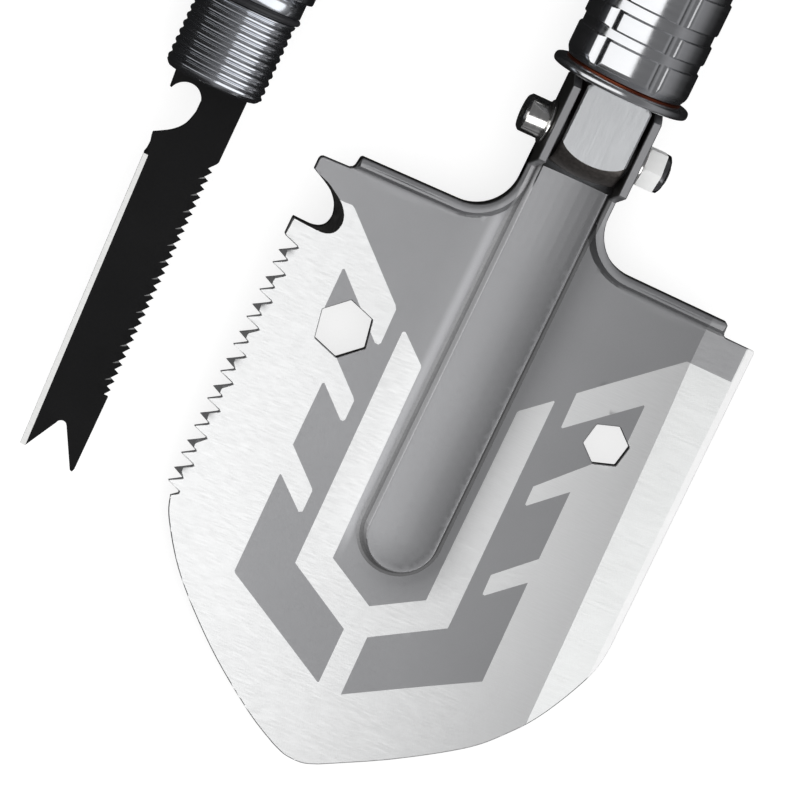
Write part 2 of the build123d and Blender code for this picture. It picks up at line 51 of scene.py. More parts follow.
# ------------------------------ local frames, all in millimetres
# Head frame: +X right, +Y towards the handle, +Z out of the dished face.
# Handle frame: the same directions about the fold pivot.  Grip frame: +Y towards the butt, +Z up.
JOINTS = {joint["name"]: joint for joint in frame["joints"]}
PIVOT = Vector(JOINTS["handle_fold"]["pos_m"])
ACROSS = Vector(JOINTS["handle_fold"]["axis"]).normalized()
ALONG = Vector(JOINTS["ring_travel"]["axis"]).normalized()
OUT = ACROSS.cross(ALONG)
PIVOT_Y = 40.5
PIVOT_Z = 8.2
FERRULE_AT = 41.0


def frame_matrix(origin, across, along, out):
    """Local millimetres to the row frame's metres."""
    turn = Matrix((across, along, out)).transposed().to_4x4()
    return Matrix.Translation(origin) @ turn @ Matrix.Scale(MM, 4)


HANDLE = frame_matrix(PIVOT, ACROSS, ALONG, OUT)
HEAD = frame_matrix(PIVOT - ALONG * PIVOT_Y * MM - OUT * PIVOT_Z * MM, ACROSS, ALONG, OUT)
ferrule_low, ferrule_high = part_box("grip_ferrule")
grip_middle = (ferrule_low + ferrule_high) / 2
grip_origin = Vector((grip_middle.x, ferrule_low.y - FERRULE_AT * MM, grip_middle.z))
GRIP = frame_matrix(grip_origin, Vector((1, 0, 0)), Vector((0, 1, 0)), Vector((0, 0, 1)))


def add_object(name, data):
    item = bpy.data.objects.new(name, data)
    bpy.context.scene.collection.objects.link(item)
    return item


# ------------------------------ materials
SHADES = 13
LIGHT_SHADES = 4
BUMP_DEPTH = 0.05
# Where the painted highlight beside the rib fades in, in millimetres, and how much brighter it makes the
# matte.
SHEEN_ACROSS = ((-19.5, -16.4), (-13.6, -15.4))
SHEEN_ALONG = ((-121.0, -104.0), (14.0, 2.0))
SHEEN_GAIN = 0.45


def new_material(name):
    mat = bpy.data.materials.new(name)
    mat.use_nodes = True
    return mat, mat.node_tree.nodes, mat.node_tree.links, mat.node_tree.nodes["Principled BSDF"]


def noise(nodes, links, scale, stretch=(1, 1, 1), detail=4.0):
    """Noise on the object's own coordinates, finer along the axes that stretch makes larger."""
    coords = nodes.new("ShaderNodeTexCoord")
    mapping = nodes.new("ShaderNodeMapping")
    mapping.inputs["Scale"].default_value = stretch
    links.new(coords.outputs["Object"], mapping.inputs["Vector"])
    texture = nodes.new("ShaderNodeTexNoise")
    texture.inputs["Scale"].default_value = scale
    texture.inputs["Detail"].default_value = detail
    links.new(mapping.outputs["Vector"], texture.inputs["Vector"])
    return texture.outputs["Fac"]


def ramp(nodes, links, source, low, high, start=0.3, end=0.7):
    """source mapped from one grey or colour to another."""
    node = nodes.new("ShaderNodeValToRGB")
    node.color_ramp.elements[0].position = start
    node.color_ramp.elements[1].position = end
    node.color_ramp.elements[0].color = (*low, 1)
    node.color_ramp.elements[1].color = (*high, 1)
    links.new(source, node.inputs["Fac"])
    return node.outputs["Color"]


def multiply(nodes, links, first, second):
    node = nodes.new("ShaderNodeMix")
    node.data_type = "RGBA"
    node.blend_type = "MULTIPLY"
    node.inputs["Factor"].default_value = 1.0
    links.new(first, node.inputs["A"])
    links.new(second, node.inputs["B"])
    return node.outputs["Result"]


def math_node(nodes, links, operation, first, second):
    node = nodes.new("ShaderNodeMath")
    node.operation = operation
    links.new(first, node.inputs[0])
    links.new(second, node.inputs[1])
    return node.outputs["Value"]


def split_axes(nodes, links, space):
    """The X, Y and Z outputs of a texture coordinate."""
    coords = nodes.new("ShaderNodeTexCoord")
    split = nodes.new("ShaderNodeSeparateXYZ")
    links.new(coords.outputs[space], split.inputs["Vector"])
    return split.outputs


def add_bump(nodes, links, shader, height, strength):
    bump = nodes.new("ShaderNodeBump")
    bump.inputs["Distance"].default_value = BUMP_DEPTH * MM
    bump.inputs["Strength"].default_value = strength
    links.new(height, bump.inputs["Height"])
    links.new(bump.outputs["Normal"], shader.inputs["Normal"])


def smooth_step(nodes, links, source, start, end):
    """0 before start and 1 past end, both in millimetres."""
    node = nodes.new("ShaderNodeMapRange")
    node.interpolation_type = "SMOOTHSTEP"
    low, high = sorted((start, end))
    node.inputs["From Min"].default_value = low * MM
    node.inputs["From Max"].default_value = high * MM
    node.inputs["To Min"].default_value = 0.0 if start < end else 1.0
    node.inputs["To Max"].default_value = 1.0 if start < end else 0.0
    links.new(source, node.inputs["Value"])
    return node.outputs["Result"]


def add_painted_sheen(mat):
    """A painted highlight: the matte colour made brighter in a band beside the rib; it fades in over each
    pair.
    """
    nodes, links = mat.node_tree.nodes, mat.node_tree.links
    shader = nodes["Principled BSDF"]
    axes = split_axes(nodes, links, "Object")
    middle = PIVOT.x / MM
    shoulder = (PIVOT - ALONG * PIVOT_Y * MM).y / MM
    steps = [smooth_step(nodes, links, axes["X"], middle + a, middle + b) for a, b in SHEEN_ACROSS]
    steps += [smooth_step(nodes, links, axes["Y"], shoulder + a, shoulder + b) for a, b in SHEEN_ALONG]
    amount = steps[0]
    for step in steps[1:]:
        amount = math_node(nodes, links, "MULTIPLY", amount, step)
    gain = nodes.new("ShaderNodeMath")
    gain.operation = "MULTIPLY_ADD"
    gain.inputs[1].default_value = SHEEN_GAIN
    gain.inputs[2].default_value = 1.0
    links.new(amount, gain.inputs[0])
    lift = nodes.new("ShaderNodeVectorMath")
    lift.operation = "SCALE"
    links.new(shader.inputs["Base Color"].links[0].from_socket, lift.inputs["Vector"])
    links.new(gain.outputs["Value"], lift.inputs["Scale"])
    links.new(lift.outputs["Vector"], shader.inputs["Base Color"])


def finish(name, colour, spread, roughness, metallic=1.0, grain=900.0, stretch=(1, 1, 1), bump=0.1,
           blotch=60.0, blotch_depth=0.04, rough_spread=0.06, specular=0.5):
    """A worked metal or plastic: colour that varies in streaks and blotches, and roughness and bump
    that follow the streaks."""
    mat, nodes, links, shader = new_material(name)
    shader.inputs["Metallic"].default_value = metallic
    shader.inputs["Specular IOR Level"].default_value = specular
    streak = noise(nodes, links, grain, stretch)
    cloud = noise(nodes, links, blotch)
    low = [channel * (1 - spread) for channel in colour]
    high = [min(1.0, channel * (1 + spread)) for channel in colour]
    fine = ramp(nodes, links, streak, low, high)
    wide = ramp(nodes, links, cloud, [1 - blotch_depth] * 3, [1.0] * 3)
    links.new(multiply(nodes, links, fine, wide), shader.inputs["Base Color"])
    rough = ramp(nodes, links, streak, [roughness - rough_spread] * 3, [roughness + rough_spread] * 3)
    links.new(rough, shader.inputs["Roughness"])
    add_bump(nodes, links, shader, streak, bump)
    return mat


def painted_shade_row(name, first, last):
    """Painted light and shade: a dull finish in even steps from one grey to another."""
    levels = [first * (last / first) ** (k / (SHADES - 1)) for k in range(SHADES)]
    return [finish(f"blade_{name}_{k}", (level, level, level * 1.02), 0.08, 0.5, metallic=0.0,
                   grain=1800, bump=0.05, specular=0.2) for k, level in enumerate(levels)]


LINES_ACROSS = (0.06, 1.0, 0.3)
RINGS_ROUND = (0.05, 1.0, 0.05)
MATTE_BEVEL = finish("blade_matte_bevel", (0.46, 0.462, 0.47), 0.07, 0.46, grain=2200, stretch=LINES_ACROSS)
MATTE = finish("blade_matte", (0.425, 0.427, 0.437), 0.05, 0.46, grain=2600, bump=0.1, blotch=26,
               blotch_depth=0.06)
BRUSHED = finish("blade_brushed", (0.85, 0.855, 0.855), 0.035, 0.38, grain=3200, stretch=LINES_ACROSS,
                 bump=0.025, blotch=18, blotch_depth=0.03)
GROUND = finish("blade_ground", (0.78, 0.79, 0.785), 0.08, 0.36, grain=1900, stretch=LINES_ACROSS, bump=0.06,
                blotch=40, blotch_depth=0.05)
KEEN = finish("blade_keen", (0.83, 0.83, 0.83), 0.02, 0.42, metallic=0.3, grain=1500, stretch=LINES_ACROSS)
# Dark cut edges; on the ears' flat sides the same dark is painted shade.
CUT_AND_SHADE = finish("blade_cut_and_painted_shade", (0.13, 0.125, 0.12), 0.25, 0.45, grain=1800, bump=0.2)
# Painted light and shade round the rib: its walls and crease lighter on the left, darker towards the right
# and round its end.
RIB_WALL_SHADES = painted_shade_row("rib_wall_painted_shade", 0.66, 0.07)
CREASE_SHADES = painted_shade_row("crease", 0.29, 0.07)
CREASE_FADE_SHADES = painted_shade_row("crease_fade_painted_shade", 0.40, 0.14)
# A painted highlight along the rib's edge on its darker side.
EDGE_HIGHLIGHT = finish("blade_edge_painted_highlight", (0.75, 0.75, 0.76), 0.05, 0.4, grain=1800)
TOOTH_WALL = finish("blade_tooth_wall", (0.16, 0.16, 0.165), 0.15, 0.5, metallic=0.0, grain=2600)
# Painted shade on the teeth's slanted faces and on the hook's bevel.
TOOTH_FACET_SHADE = finish("blade_tooth_facet_painted_shade", (0.085, 0.085, 0.087), 0.15, 0.5, metallic=0.0, grain=2600)
HOOK_BEVEL_SHADE = finish("blade_hook_bevel_painted_shade", (0.085, 0.083, 0.08), 0.2, 0.42, grain=2600, stretch=(1, 0.1, 1),
                    bump=0.2)
BLADE_BACK = finish("blade_back", (0.40, 0.40, 0.41), 0.1, 0.48, grain=2400, bump=0.25, blotch=30,
                    blotch_depth=0.1)
# The matte finish carries a painted highlight beside the rib.
add_painted_sheen(MATTE)
KNUCKLE = finish("knuckle_satin", (0.76, 0.775, 0.79), 0.04, 0.42, grain=1600, stretch=(1, 0.05, 1))
# Painted shade on the knuckle's rounded end and on its sides between the ears.
KNUCKLE_SHADE = finish("knuckle_painted_shade", (0.17, 0.155, 0.145), 0.2, 0.4, grain=900, bump=0.15)
CHROME = finish("collar_chrome_look", (0.90, 0.91, 0.93), 0.02, 0.16, grain=700, stretch=RINGS_ROUND,
                bump=0.03, rough_spread=0.03, blotch_depth=0.03)
RING = finish("ring_steel_look", (0.82, 0.83, 0.85), 0.04, 0.2, grain=900, stretch=RINGS_ROUND, bump=0.06,
              rough_spread=0.05)
BOLT = finish("bolt_steel_look", (0.86, 0.85, 0.83), 0.04, 0.16, grain=800, stretch=(1, 0.1, 0.1), bump=0.06,
              rough_spread=0.05)
NUT = finish("nut_zinc", (0.92, 0.925, 0.92), 0.02, 0.4, metallic=0.2, grain=500, bump=0.02,
             rough_spread=0.03)
# Painted shade on the nut's domed outer end.
NUT_END_SHADE = finish("nut_end_painted_shade", (0.25, 0.25, 0.26), 0.05, 0.2, grain=500, bump=0.03, rough_spread=0.03)
COPPER = finish("washer_bronze", (0.34, 0.08, 0.035), 0.12, 0.35, grain=900)
BRONZE = finish("bush_bronze_look", (0.55, 0.33, 0.14), 0.1, 0.35, grain=900)
SPACER = finish("spacer_plastic_look", (0.03, 0.03, 0.032), 0.2, 0.5, metallic=0.0, grain=1200)
SPRING = finish("spring_steel_look", (0.35, 0.36, 0.38), 0.1, 0.35, grain=900)
TUBE = finish("tube_anodised", (0.055, 0.057, 0.062), 0.12, 0.36, metallic=0.85, grain=1500,
              stretch=RINGS_ROUND, bump=0.1)
CAP = finish("cap_anodised", (0.07, 0.072, 0.078), 0.12, 0.33, metallic=0.85, grain=1500, stretch=RINGS_ROUND,
             bump=0.1)
INNER = finish("plug_aluminium", (0.75, 0.76, 0.78), 0.06, 0.4, grain=900)
KNIFE = finish("knife_coating", (0.010, 0.010, 0.0105), 0.2, 0.46, metallic=0.0, grain=2600, bump=0.12,
               blotch=45, blotch_depth=0.2, specular=0.2)
KNIFE_GROUND = finish("knife_ground", (0.90, 0.90, 0.89), 0.05, 0.4, metallic=0.1, grain=1700,
                      stretch=LINES_ACROSS, bump=0.15)
KNIFE_FACET = finish("knife_facet", (0.22, 0.22, 0.22), 0.2, 0.35, metallic=0.2, grain=1700, bump=0.25)
HOLDER = finish("holder_steel_look", (0.84, 0.86, 0.90), 0.03, 0.17, grain=900, stretch=RINGS_ROUND,
                bump=0.01, rough_spread=0.04)
FERRULE = finish("ferrule_chrome_look", (0.88, 0.90, 0.93), 0.02, 0.12, grain=700, stretch=RINGS_ROUND,
                 bump=0.03, rough_spread=0.03)
RUBBER = finish("seal_rubber_look", (0.018, 0.018, 0.02), 0.2, 0.38, metallic=0.0, grain=1500)


# ------------------------------ mesh helpers
def build(name, parts, place, body, node, crease=34.0):
    """One object, in place of a CAD node, from parts that are (vertices, faces, a material a face)."""
    verts, faces, slots, mats = [], [], [], []
    for part_verts, part_faces, part_mats in parts:
        offset = len(verts)
        verts += [place @ Vector(v) for v in part_verts]
        for face, mat in zip(part_faces, part_mats):
            if mat not in mats:
                mats.append(mat)
            faces.append([offset + index for index in face])
            slots.append(mats.index(mat))
    mesh = bpy.data.meshes.new(name)
    mesh.from_pydata(verts, [], faces)
    for mat in mats:
        mesh.materials.append(mat)
    mesh.polygons.foreach_set("material_index", slots)
    work = bmesh.new()
    work.from_mesh(mesh)
    bmesh.ops.recalc_face_normals(work, faces=work.faces)
    for face in work.faces:
        face.smooth = True
    for edge in work.edges:
        sides = edge.link_faces
        edge.smooth = (len(sides) == 2 and sides[0].material_index == sides[1].material_index
                       and edge.calc_face_angle(0.0) < math.radians(crease))
    work.to_mesh(mesh)
    work.free()
    piece = add_object(name, mesh)
    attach(piece, body)
    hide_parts(node)
    return piece


def soften(points, radius, steps=4):
    """A closed outline with each corner rounded; radius may be one number or one for each corner."""
    radii = radius if isinstance(radius, (list, tuple)) else [radius] * len(points)
    out = []
    for index, (here, size) in enumerate(zip(points, radii)):
        here = Vector(here)
        before = Vector(points[index - 1]) - here
        after = Vector(points[(index + 1) % len(points)]) - here
        turn = math.pi - before.angle(after, math.pi)
        if size <= 0 or turn < math.radians(4):
            out.append(tuple(here))
            continue
        reach = min(size * math.tan(turn / 2), before.length * 0.45, after.length * 0.45)
        start = here + before.normalized() * reach
        end = here + after.normalized() * reach
        for step in range(steps + 1):
            t = step / steps
            out.append(tuple(start * (1 - t) ** 2 + here * 2 * t * (1 - t) + end * t * t))
    return out


def even_angles(count):
    return [2 * math.pi * index / count for index in range(count)]


def lathe(profile, angles, mat, shape=None, paint=None, axis="Y"):
    """A solid turned about local Y (or X) from a closed outline of (radius, station) points.
    shape(angle, station, radius) gives the radius there; paint(angle, station, radius) the material."""
    verts, rows = [], []
    for radius, station in profile:
        row = []
        if radius < 1e-6:
            verts.append((0, station, 0) if axis == "Y" else (station, 0, 0))
            rows.append([len(verts) - 1])
            continue
        for angle in angles:
            size = shape(angle, station, radius) if shape else radius
            side, up = size * math.sin(angle), size * math.cos(angle)
            verts.append((side, station, up) if axis == "Y" else (station, side, up))
            row.append(len(verts) - 1)
        rows.append(row)
    faces, mats = [], []
    count = len(angles)
    for index, row in enumerate(rows):
        other = rows[(index + 1) % len(rows)]
        if len(row) == 1 and len(other) == 1:
            continue
        radius = (profile[index][0] + profile[(index + 1) % len(rows)][0]) / 2
        station = (profile[index][1] + profile[(index + 1) % len(rows)][1]) / 2
        for k in range(count):
            n = (k + 1) % count
            if len(row) == 1:
                face = [row[0], other[n], other[k]]
            elif len(other) == 1:
                face = [row[k], row[n], other[0]]
            else:
                face = [row[k], row[n], other[n], other[k]]
            faces.append(face)
            mats.append(paint(angles[k], station, radius) if paint else mat)
    return verts, faces, mats


def inside(point, outline):
    """Whether a plan point lies inside a closed outline."""
    x, y = point
    found = False
    previous = outline[-1]
    for here in outline:
        if (here[1] > y) != (previous[1] > y):
            at = here[0] + (y - here[1]) * (previous[0] - here[0]) / (previous[1] - here[1])
            if x < at:
                found = not found
        previous = here
    return found


def divide(points, step, closed=False):
    """A line of points no further apart than step."""
    pairs = list(zip(points, points[1:] + points[:1])) if closed else list(zip(points, points[1:]))
    out = []
    for start, end in pairs:
        span = math.dist(start, end)
        count = max(1, math.ceil(span / step))
        out += [(start[0] + (end[0] - start[0]) * k / count, start[1] + (end[1] - start[1]) * k / count)
                for k in range(count)]
    if not closed:
        out.append(points[-1])
    return out


def inset(outline, distance):
    """A closed outline moved inwards, its corners mitred."""
    area = sum(a[0] * b[1] - b[0] * a[1] for a, b in zip(outline, outline[1:] + outline[:1]))
    side = 1 if area > 0 else -1
    out = []
    for index, here in enumerate(outline):
        here = Vector(here)
        ahead = (Vector(outline[(index + 1) % len(outline)]) - here).normalized()
        behind = (here - Vector(outline[index - 1])).normalized()
        normal = Vector((-ahead.y - behind.y, ahead.x + behind.x)) * side
        if normal.length < 1e-6:
            out.append(tuple(here))
            continue
        normal.normalize()
        half = max(0.45, normal.dot(Vector((-ahead.y, ahead.x)) * side))
        out.append(tuple(here + normal * distance / half))
    return out


def spline(points, count=8):
    """A smooth open line through points."""
    ends = [points[0]] + list(points) + [points[-1]]
    out = []
    for a, b, c, d in zip(ends, ends[1:], ends[2:], ends[3:]):
        for k in range(count):
            t = k / count
            out.append(tuple(
                0.5 * (2 * b[i] + (c[i] - a[i]) * t + (2 * a[i] - 5 * b[i] + 4 * c[i] - d[i]) * t * t
                       + (3 * b[i] - a[i] - 3 * c[i] + d[i]) * t ** 3) for i in (0, 1)))
    out.append(tuple(points[-1]))
    return out


def arc(middle, radius, start, end, count):
    """Points of an arc, angles in degrees."""
    out = []
    for k in range(count + 1):
        angle = math.radians(start + (end - start) * k / count)
        out.append((middle[0] + radius * math.cos(angle), middle[1] + radius * math.sin(angle)))
    return out


RIM_DROP = 0.7


def plan_solid(outline, holes, lines, points, top, bottom, paint, wall, back, rim=0.3):
    """A closed solid over a plan outline: top and bottom heights from functions of (x, y), its faces cut
    along the given lines, a small chamfer round its upper and lower rims."""
    coords, edges = [], []

    def add_line(line, closed):
        first = len(coords)
        coords.extend(Vector(p) for p in line)
        edges.extend((first + k, first + k + 1) for k in range(len(line) - 1))
        if closed:
            edges.append((first + len(line) - 1, first))

    rims = [outline] + holes
    inner = [inset(outline, rim)] + [inset(hole, -rim) for hole in holes]
    for loop in rims + inner:
        add_line(loop, True)
    for line in lines:
        add_line(line, False)
    coords.extend(Vector(p) for p in points)
    plan, _, triangles, _, _, _ = delaunay_2d_cdt(coords, edges, [], 0, 1e-4)
    kept = []
    for face in triangles:
        middle = [sum(plan[i][k] for i in face) / len(face) for k in (0, 1)]
        if inside(middle, outline) and not any(inside(middle, hole) for hole in holes):
            kept.append((face, middle))
    count = {}
    for face, _ in kept:
        for a, b in zip(face, face[1:] + face[:1]):
            key = (min(a, b), max(a, b))
            count[key] = count.get(key, 0) + 1
    border = {i for key, uses in count.items() if uses == 1 for i in key}
    used = sorted({i for face, _ in kept for i in face})
    place = {i: k for k, i in enumerate(used)}
    verts = []
    for height, sign in ((top, -1), (bottom, 1)):
        for i in used:
            drop = rim * RIM_DROP if i in border else 0.0
            verts.append((plan[i][0], plan[i][1], height(*plan[i]) + sign * drop))
    half = len(used)
    faces, mats = [], []
    for face, middle in kept:
        faces.append([place[i] for i in face])
        mats.append(paint(*middle))
        faces.append([place[i] + half for i in reversed(face)])
        mats.append(back)
    for face, _ in kept:
        for a, b in zip(face, face[1:] + face[:1]):
            if count[(min(a, b), max(a, b))] == 1:
                faces.append([place[b], place[a], place[a] + half, place[b] + half])
                mats.append(wall((plan[a][0] + plan[b][0]) / 2, (plan[a][1] + plan[b][1]) / 2))
    return verts, faces, mats


def grid(x0, x1, y0, y1, step):
    """Grid points, every other row moved by half a step."""
    out = []
    rows = int((y1 - y0) / step) + 1
    for row in range(rows):
        shift = step / 2 if row % 2 else 0.0
        columns = int((x1 - x0 - shift) / step) + 1
        out += [(x0 + shift + k * step, y0 + row * step) for k in range(columns)]
    return out


def along_profile(knots, u):
    """The height at u on the straight runs between (u, height) knots."""
    if u <= knots[0][0]:
        return knots[0][1]
    for (u0, h0), (u1, h1) in zip(knots, knots[1:]):
        if u <= u1:
            t = (u - u0) / (u1 - u0)
            return h0 + (h1 - h0) * t
    return knots[-1][1]


# ------------------------------ blade: sheet, its finish and its painted light and shade
SHEET = 3.0
DISH_RADIUS = 500.0
HALF_WIDTH = 79.0
TIP_Y = -187.0
NECK_HALF = 16.0
NECK_FILLET = 15.0
LIP_Y = 4.9
LIP_END_X = 66.5
LIP_RISE = 2.5
LIP_TOP = 2.8
LIP_RIDGE = 1.4
LIP_SLOPE = 0.2
LIP_FOOT = 4.9
EAR_THICK = 2.9
SWEEP = 12.8
RIB_END_Y = -103.5
RIB_HEIGHTS = [(0.0, 4.75), (3.0, 4.82), (6.0, 5.03), (9.0, 5.35), (11.2, 5.7), (11.6, 5.7), (11.8, 5.5),
               (12.0, 5.0), (12.2, 1.4), (12.4, 0.1), (12.8, -0.42), (13.3, -0.6), (14.3, -0.58),
               (16.0, -0.42), (18.0, -0.25), (20.5, -0.12), (23.0, -0.04), (26.0, 0.0)]
RIB_EDGE = (11.6, 11.95)
WALL_END = 12.35
FADE_START = 13.6
CREASE_END = 14.6
RIB_BACK_SHRINK = 1.3
TOOTH_PAIRS = 9
TOOTH_PITCH = 9.92
TOOTH_TOP_Y = -30.9
TOOTH_TIP_X = -78.0
DEEP_GULLET_X = -72.5
SHALLOW_GULLET_X = -74.0
BIG_HEX = ((-46.9, -49.3), 17.0, 41.0)
SMALL_HEX = ((48.3, -48.6), 13.0, 19.0)
KEEN_X = 76.6
BEVEL_LINE = [(61.0, 6.0), (61.2, -11.5), (62.0, -32.0), (63.0, -70.0), (64.0, -110.0), (64.8, -152.0)]
EDGE_LAND = 0.5
PAINT_Y = -11.7
SAW_TOP_Y = -29.0
SAW_BACK_X = -71.5
SAW_BACK_RISE = 1.3
SAW_BACK_WIDTH = 5.0
TIP_ZONE_Y = -118.0
TIP_BACK_RISE = 1.2
TIP_BACK_WIDTH = 4.0
THIN_EDGE = 0.3
LEFT_WORK_X = -60.0
HOOK_SPAN = (-24.0, -4.0)
HOOK_SLOPE = 0.55
HOOK_WIDTH = 3.2
FACET_X = -74.3
FACET_SLOPE = 0.3
FACET_REACH = 4.0
RIB_PAINT_Y = 27.0
EDGE_HIGHLIGHT_Y = 20.0
SHADE_START = -14.0
SHADE_SPAN = 24.0
LEAN = 0.009
ZONE_SHIFT = 0.45


def hexagon(spec):
    (x, y), flats, turn = spec
    corners = [(x + flats / math.sqrt(3) * math.cos(math.radians(turn + 60 * k)),
                y + flats / math.sqrt(3) * math.sin(math.radians(turn + 60 * k))) for k in range(6)]
    return soften(corners, 0.6, 3)


def saw_line():
    """The saw edge: a back-set tooth and a straight tooth in each pair, with rounded gullets."""
    points = []
    for pair in range(TOOTH_PAIRS):
        top = TOOTH_TOP_Y - pair * TOOTH_PITCH
        points += [(DEEP_GULLET_X - 0.5, top + 0.45), (DEEP_GULLET_X, top), (DEEP_GULLET_X - 0.5, top - 0.45)]
        points += [(TOOTH_TIP_X, top - 3.0), (TOOTH_TIP_X + 0.1, top - 3.2)]
        points += [(SHALLOW_GULLET_X - 0.3, top - 4.8), (SHALLOW_GULLET_X, top - 5.1),
                   (SHALLOW_GULLET_X - 0.3, top - 5.4)]
        points += [(TOOTH_TIP_X, top - 7.4), (TOOTH_TIP_X, top - 7.6)]
    last = TOOTH_TOP_Y - TOOTH_PAIRS * TOOTH_PITCH
    return points + [(DEEP_GULLET_X - 0.6, last + 0.3), (DEEP_GULLET_X - 0.6, last - 0.5)]


def top_edge(side, away=0.0):
    """The neck's and the lip's outer edge on one side, moved inwards by away."""
    bend_middle = (side * (NECK_HALF + NECK_FILLET), LIP_Y + NECK_FILLET)
    straight = [(side * (NECK_HALF - away), 34.0), (side * (NECK_HALF - away), LIP_Y + NECK_FILLET)]
    if side > 0:
        bend = arc(bend_middle, NECK_FILLET + away, 180, 270, 14)
    else:
        bend = arc(bend_middle, NECK_FILLET + away, 0, -90, 14)
    return straight[:1] + bend + [(side * (LIP_END_X - 0.6), LIP_Y - away)]


HOOK_EDGE = [(-79.0, -5.0), (-75.0, -7.0), (-72.0, -8.7), (-70.0, -10.3), (-68.0, -12.7), (-66.9, -15.3),
             (-66.6, -17.5), (-67.3, -20.0), (-69.0, -21.5), (-71.5, -22.15), (-74.5, -22.1), (-78.3, -21.9)]
HOOK_FACE = [(-78.9, -5.2), (-73.0, -7.2), (-70.0, -8.9), (-67.0, -10.8), (-65.1, -12.5), (-63.3, -15.0),
             (-62.6, -17.7), (-63.0, -20.2), (-64.3, -22.0), (-66.6, -23.0), (-70.0, -23.1), (-77.8, -22.5)]
LEFT_CURVE = [(-75.4, -122.0), (-72.0, -130.0), (-60.0, -146.0), (-40.0, -164.2), (-20.0, -178.3),
              (-8.0, -184.8)]
RIGHT_CURVE = [(9.0, -185.0), (30.0, -173.5), (50.0, -160.0), (60.0, -150.0), (69.0, -137.5), (77.2, -120.0),
               (79.0, -109.0)]


def blade_outline():
    neck_end = PIVOT_Y - math.sqrt(SWEEP ** 2 - (PIVOT_Z - 1.5) ** 2)
    left_top = [(x, min(y, neck_end)) for x, y in top_edge(-1)]
    right_top = [(x, min(y, neck_end)) for x, y in reversed(top_edge(1))]
    lip_left = [(-LIP_END_X, LIP_Y - 0.6), (-LIP_END_X - 0.4, 1.4), (-LIP_END_X - 0.9, 0.5), (-68.4, 0.0)]
    lip_right = [(68.4, 0.0), (LIP_END_X + 0.9, 0.5), (LIP_END_X + 0.4, 1.4), (LIP_END_X, LIP_Y - 0.6)]
    horn = [(-77.9, -0.1), (-78.7, -0.6), (-79.0, -1.5)]
    tab = [(-78.5, -22.4), (-78.5, -28.2), (-78.2, -28.6)]
    tip = spline([(-8.0, -184.8), (-3.5, -186.5), (0.5, TIP_Y), (4.5, -186.7), (9.0, -185.0)], 4)
    corner = [(79.0, -0.6), (78.4, 0.0)]
    return (left_top + lip_left + horn + spline(HOOK_EDGE, 3) + tab + saw_line() + spline(LEFT_CURVE, 8)[:-1]
            + tip[:-1] + spline(RIGHT_CURVE, 8) + corner + lip_right + right_top)


ZONE_CORNERS = [
    (-90.0, 40.0), (-90.0, -11.4), (-64.5, -11.6), (-61.9, -11.5), (-60.8, -12.1),
    (-34.6, -35.6), (-33.8, -36.9), (-33.6, -49.0), (-34.2, -49.8), (-35.5, -49.7),
    (-55.2, -31.6), (-55.8, -32.0), (-55.8, -45.6), (-45.2, -59.2),
    (-34.2, -69.0), (-33.5, -70.0), (-33.5, -76.8), (-34.0, -77.6), (-35.0, -77.5),
    (-45.1, -68.5), (-45.7, -69.0), (-45.8, -91.4),
    (-33.8, -102.0), (-33.3, -102.8), (-33.3, -110.3), (-34.4, -111.0),
    (-45.2, -101.9), (-45.6, -102.3), (-45.5, -137.4), (-44.8, -138.2),
    (-4.5, -160.0), (-4.0, -159.8), (-4.0, -140.3), (-28.2, -126.9),
    (-28.7, -43.0), (-28.3, -42.4), (-27.6, -42.4), (-18.3, -50.2), (-17.9, -51.0), (-17.5, -120.3),
    (0.4, -129.9), (16.6, -120.2), (17.2, -51.0), (17.6, -50.3), (26.5, -42.4), (26.9, -42.6),
    (27.1, -125.6), (4.2, -139.6), (4.4, -160.6), (44.9, -136.7), (44.5, -100.4),
    (33.4, -110.5), (32.6, -110.4), (32.4, -103.4), (44.4, -91.8), (44.3, -67.2),
    (33.2, -77.6), (32.6, -77.4), (32.5, -70.9), (46.9, -55.7), (54.2, -46.4), (54.2, -31.2), (53.8, -30.9),
    (32.9, -49.4), (32.4, -49.2), (32.2, -36.9), (60.4, -11.7), (76.6, PAINT_Y), (76.6, 40.0),
]
DARK_ZONE = [(x - LEAN * y - ZONE_SHIFT, y - LEAN * x) for x, y in ZONE_CORNERS]


def tooth_facets():
    """The slanted faces of the back-set teeth, which carry painted shade."""
    out = []
    for pair in range(TOOTH_PAIRS):
        top = TOOTH_TOP_Y - pair * TOOTH_PITCH
        out.append([(TOOTH_TIP_X - 0.5, top - 3.1), (-75.3, top - 1.6), (-75.2, top - 3.3),
                    (-74.9, top - 4.7), (-75.8, top - 4.5)])
    return out


FACETS = tooth_facets()
HOOK_BEVEL = HOOK_FACE + [(-82.0, -22.3), (-82.0, -5.1)]
LOWER_EDGE = spline(LEFT_CURVE, 4) + spline(RIGHT_CURVE, 4)


def on_facet(x, y):
    return any(abs(y - facet[0][1]) < FACET_REACH and inside((x, y), facet) for facet in FACETS)


def line_distance(x, y, line):
    """Distance from a plan point to an open line."""
    best = 1e9
    for (ax, ay), (bx, by) in zip(line, line[1:]):
        dx, dy = bx - ax, by - ay
        t = max(0.0, min(1.0, ((x - ax) * dx + (y - ay) * dy) / (dx * dx + dy * dy)))
        best = min(best, math.hypot(x - ax - t * dx, y - ay - t * dy))
    return best


def dish(x):
    return DISH_RADIUS - math.sqrt(DISH_RADIUS ** 2 - x * x)


def bevel_x(y):
    return next((a[0] + (b[0] - a[0]) * (y - a[1]) / (b[1] - a[1]) for a, b in zip(BEVEL_LINE, BEVEL_LINE[1:])
                 if b[1] <= y <= a[1]), BEVEL_LINE[-1][0])


def rib_reach(x, y):
    """Distance from the rib's centre line."""
    return abs(x) if y > RIB_END_Y else math.hypot(x, y - RIB_END_Y)


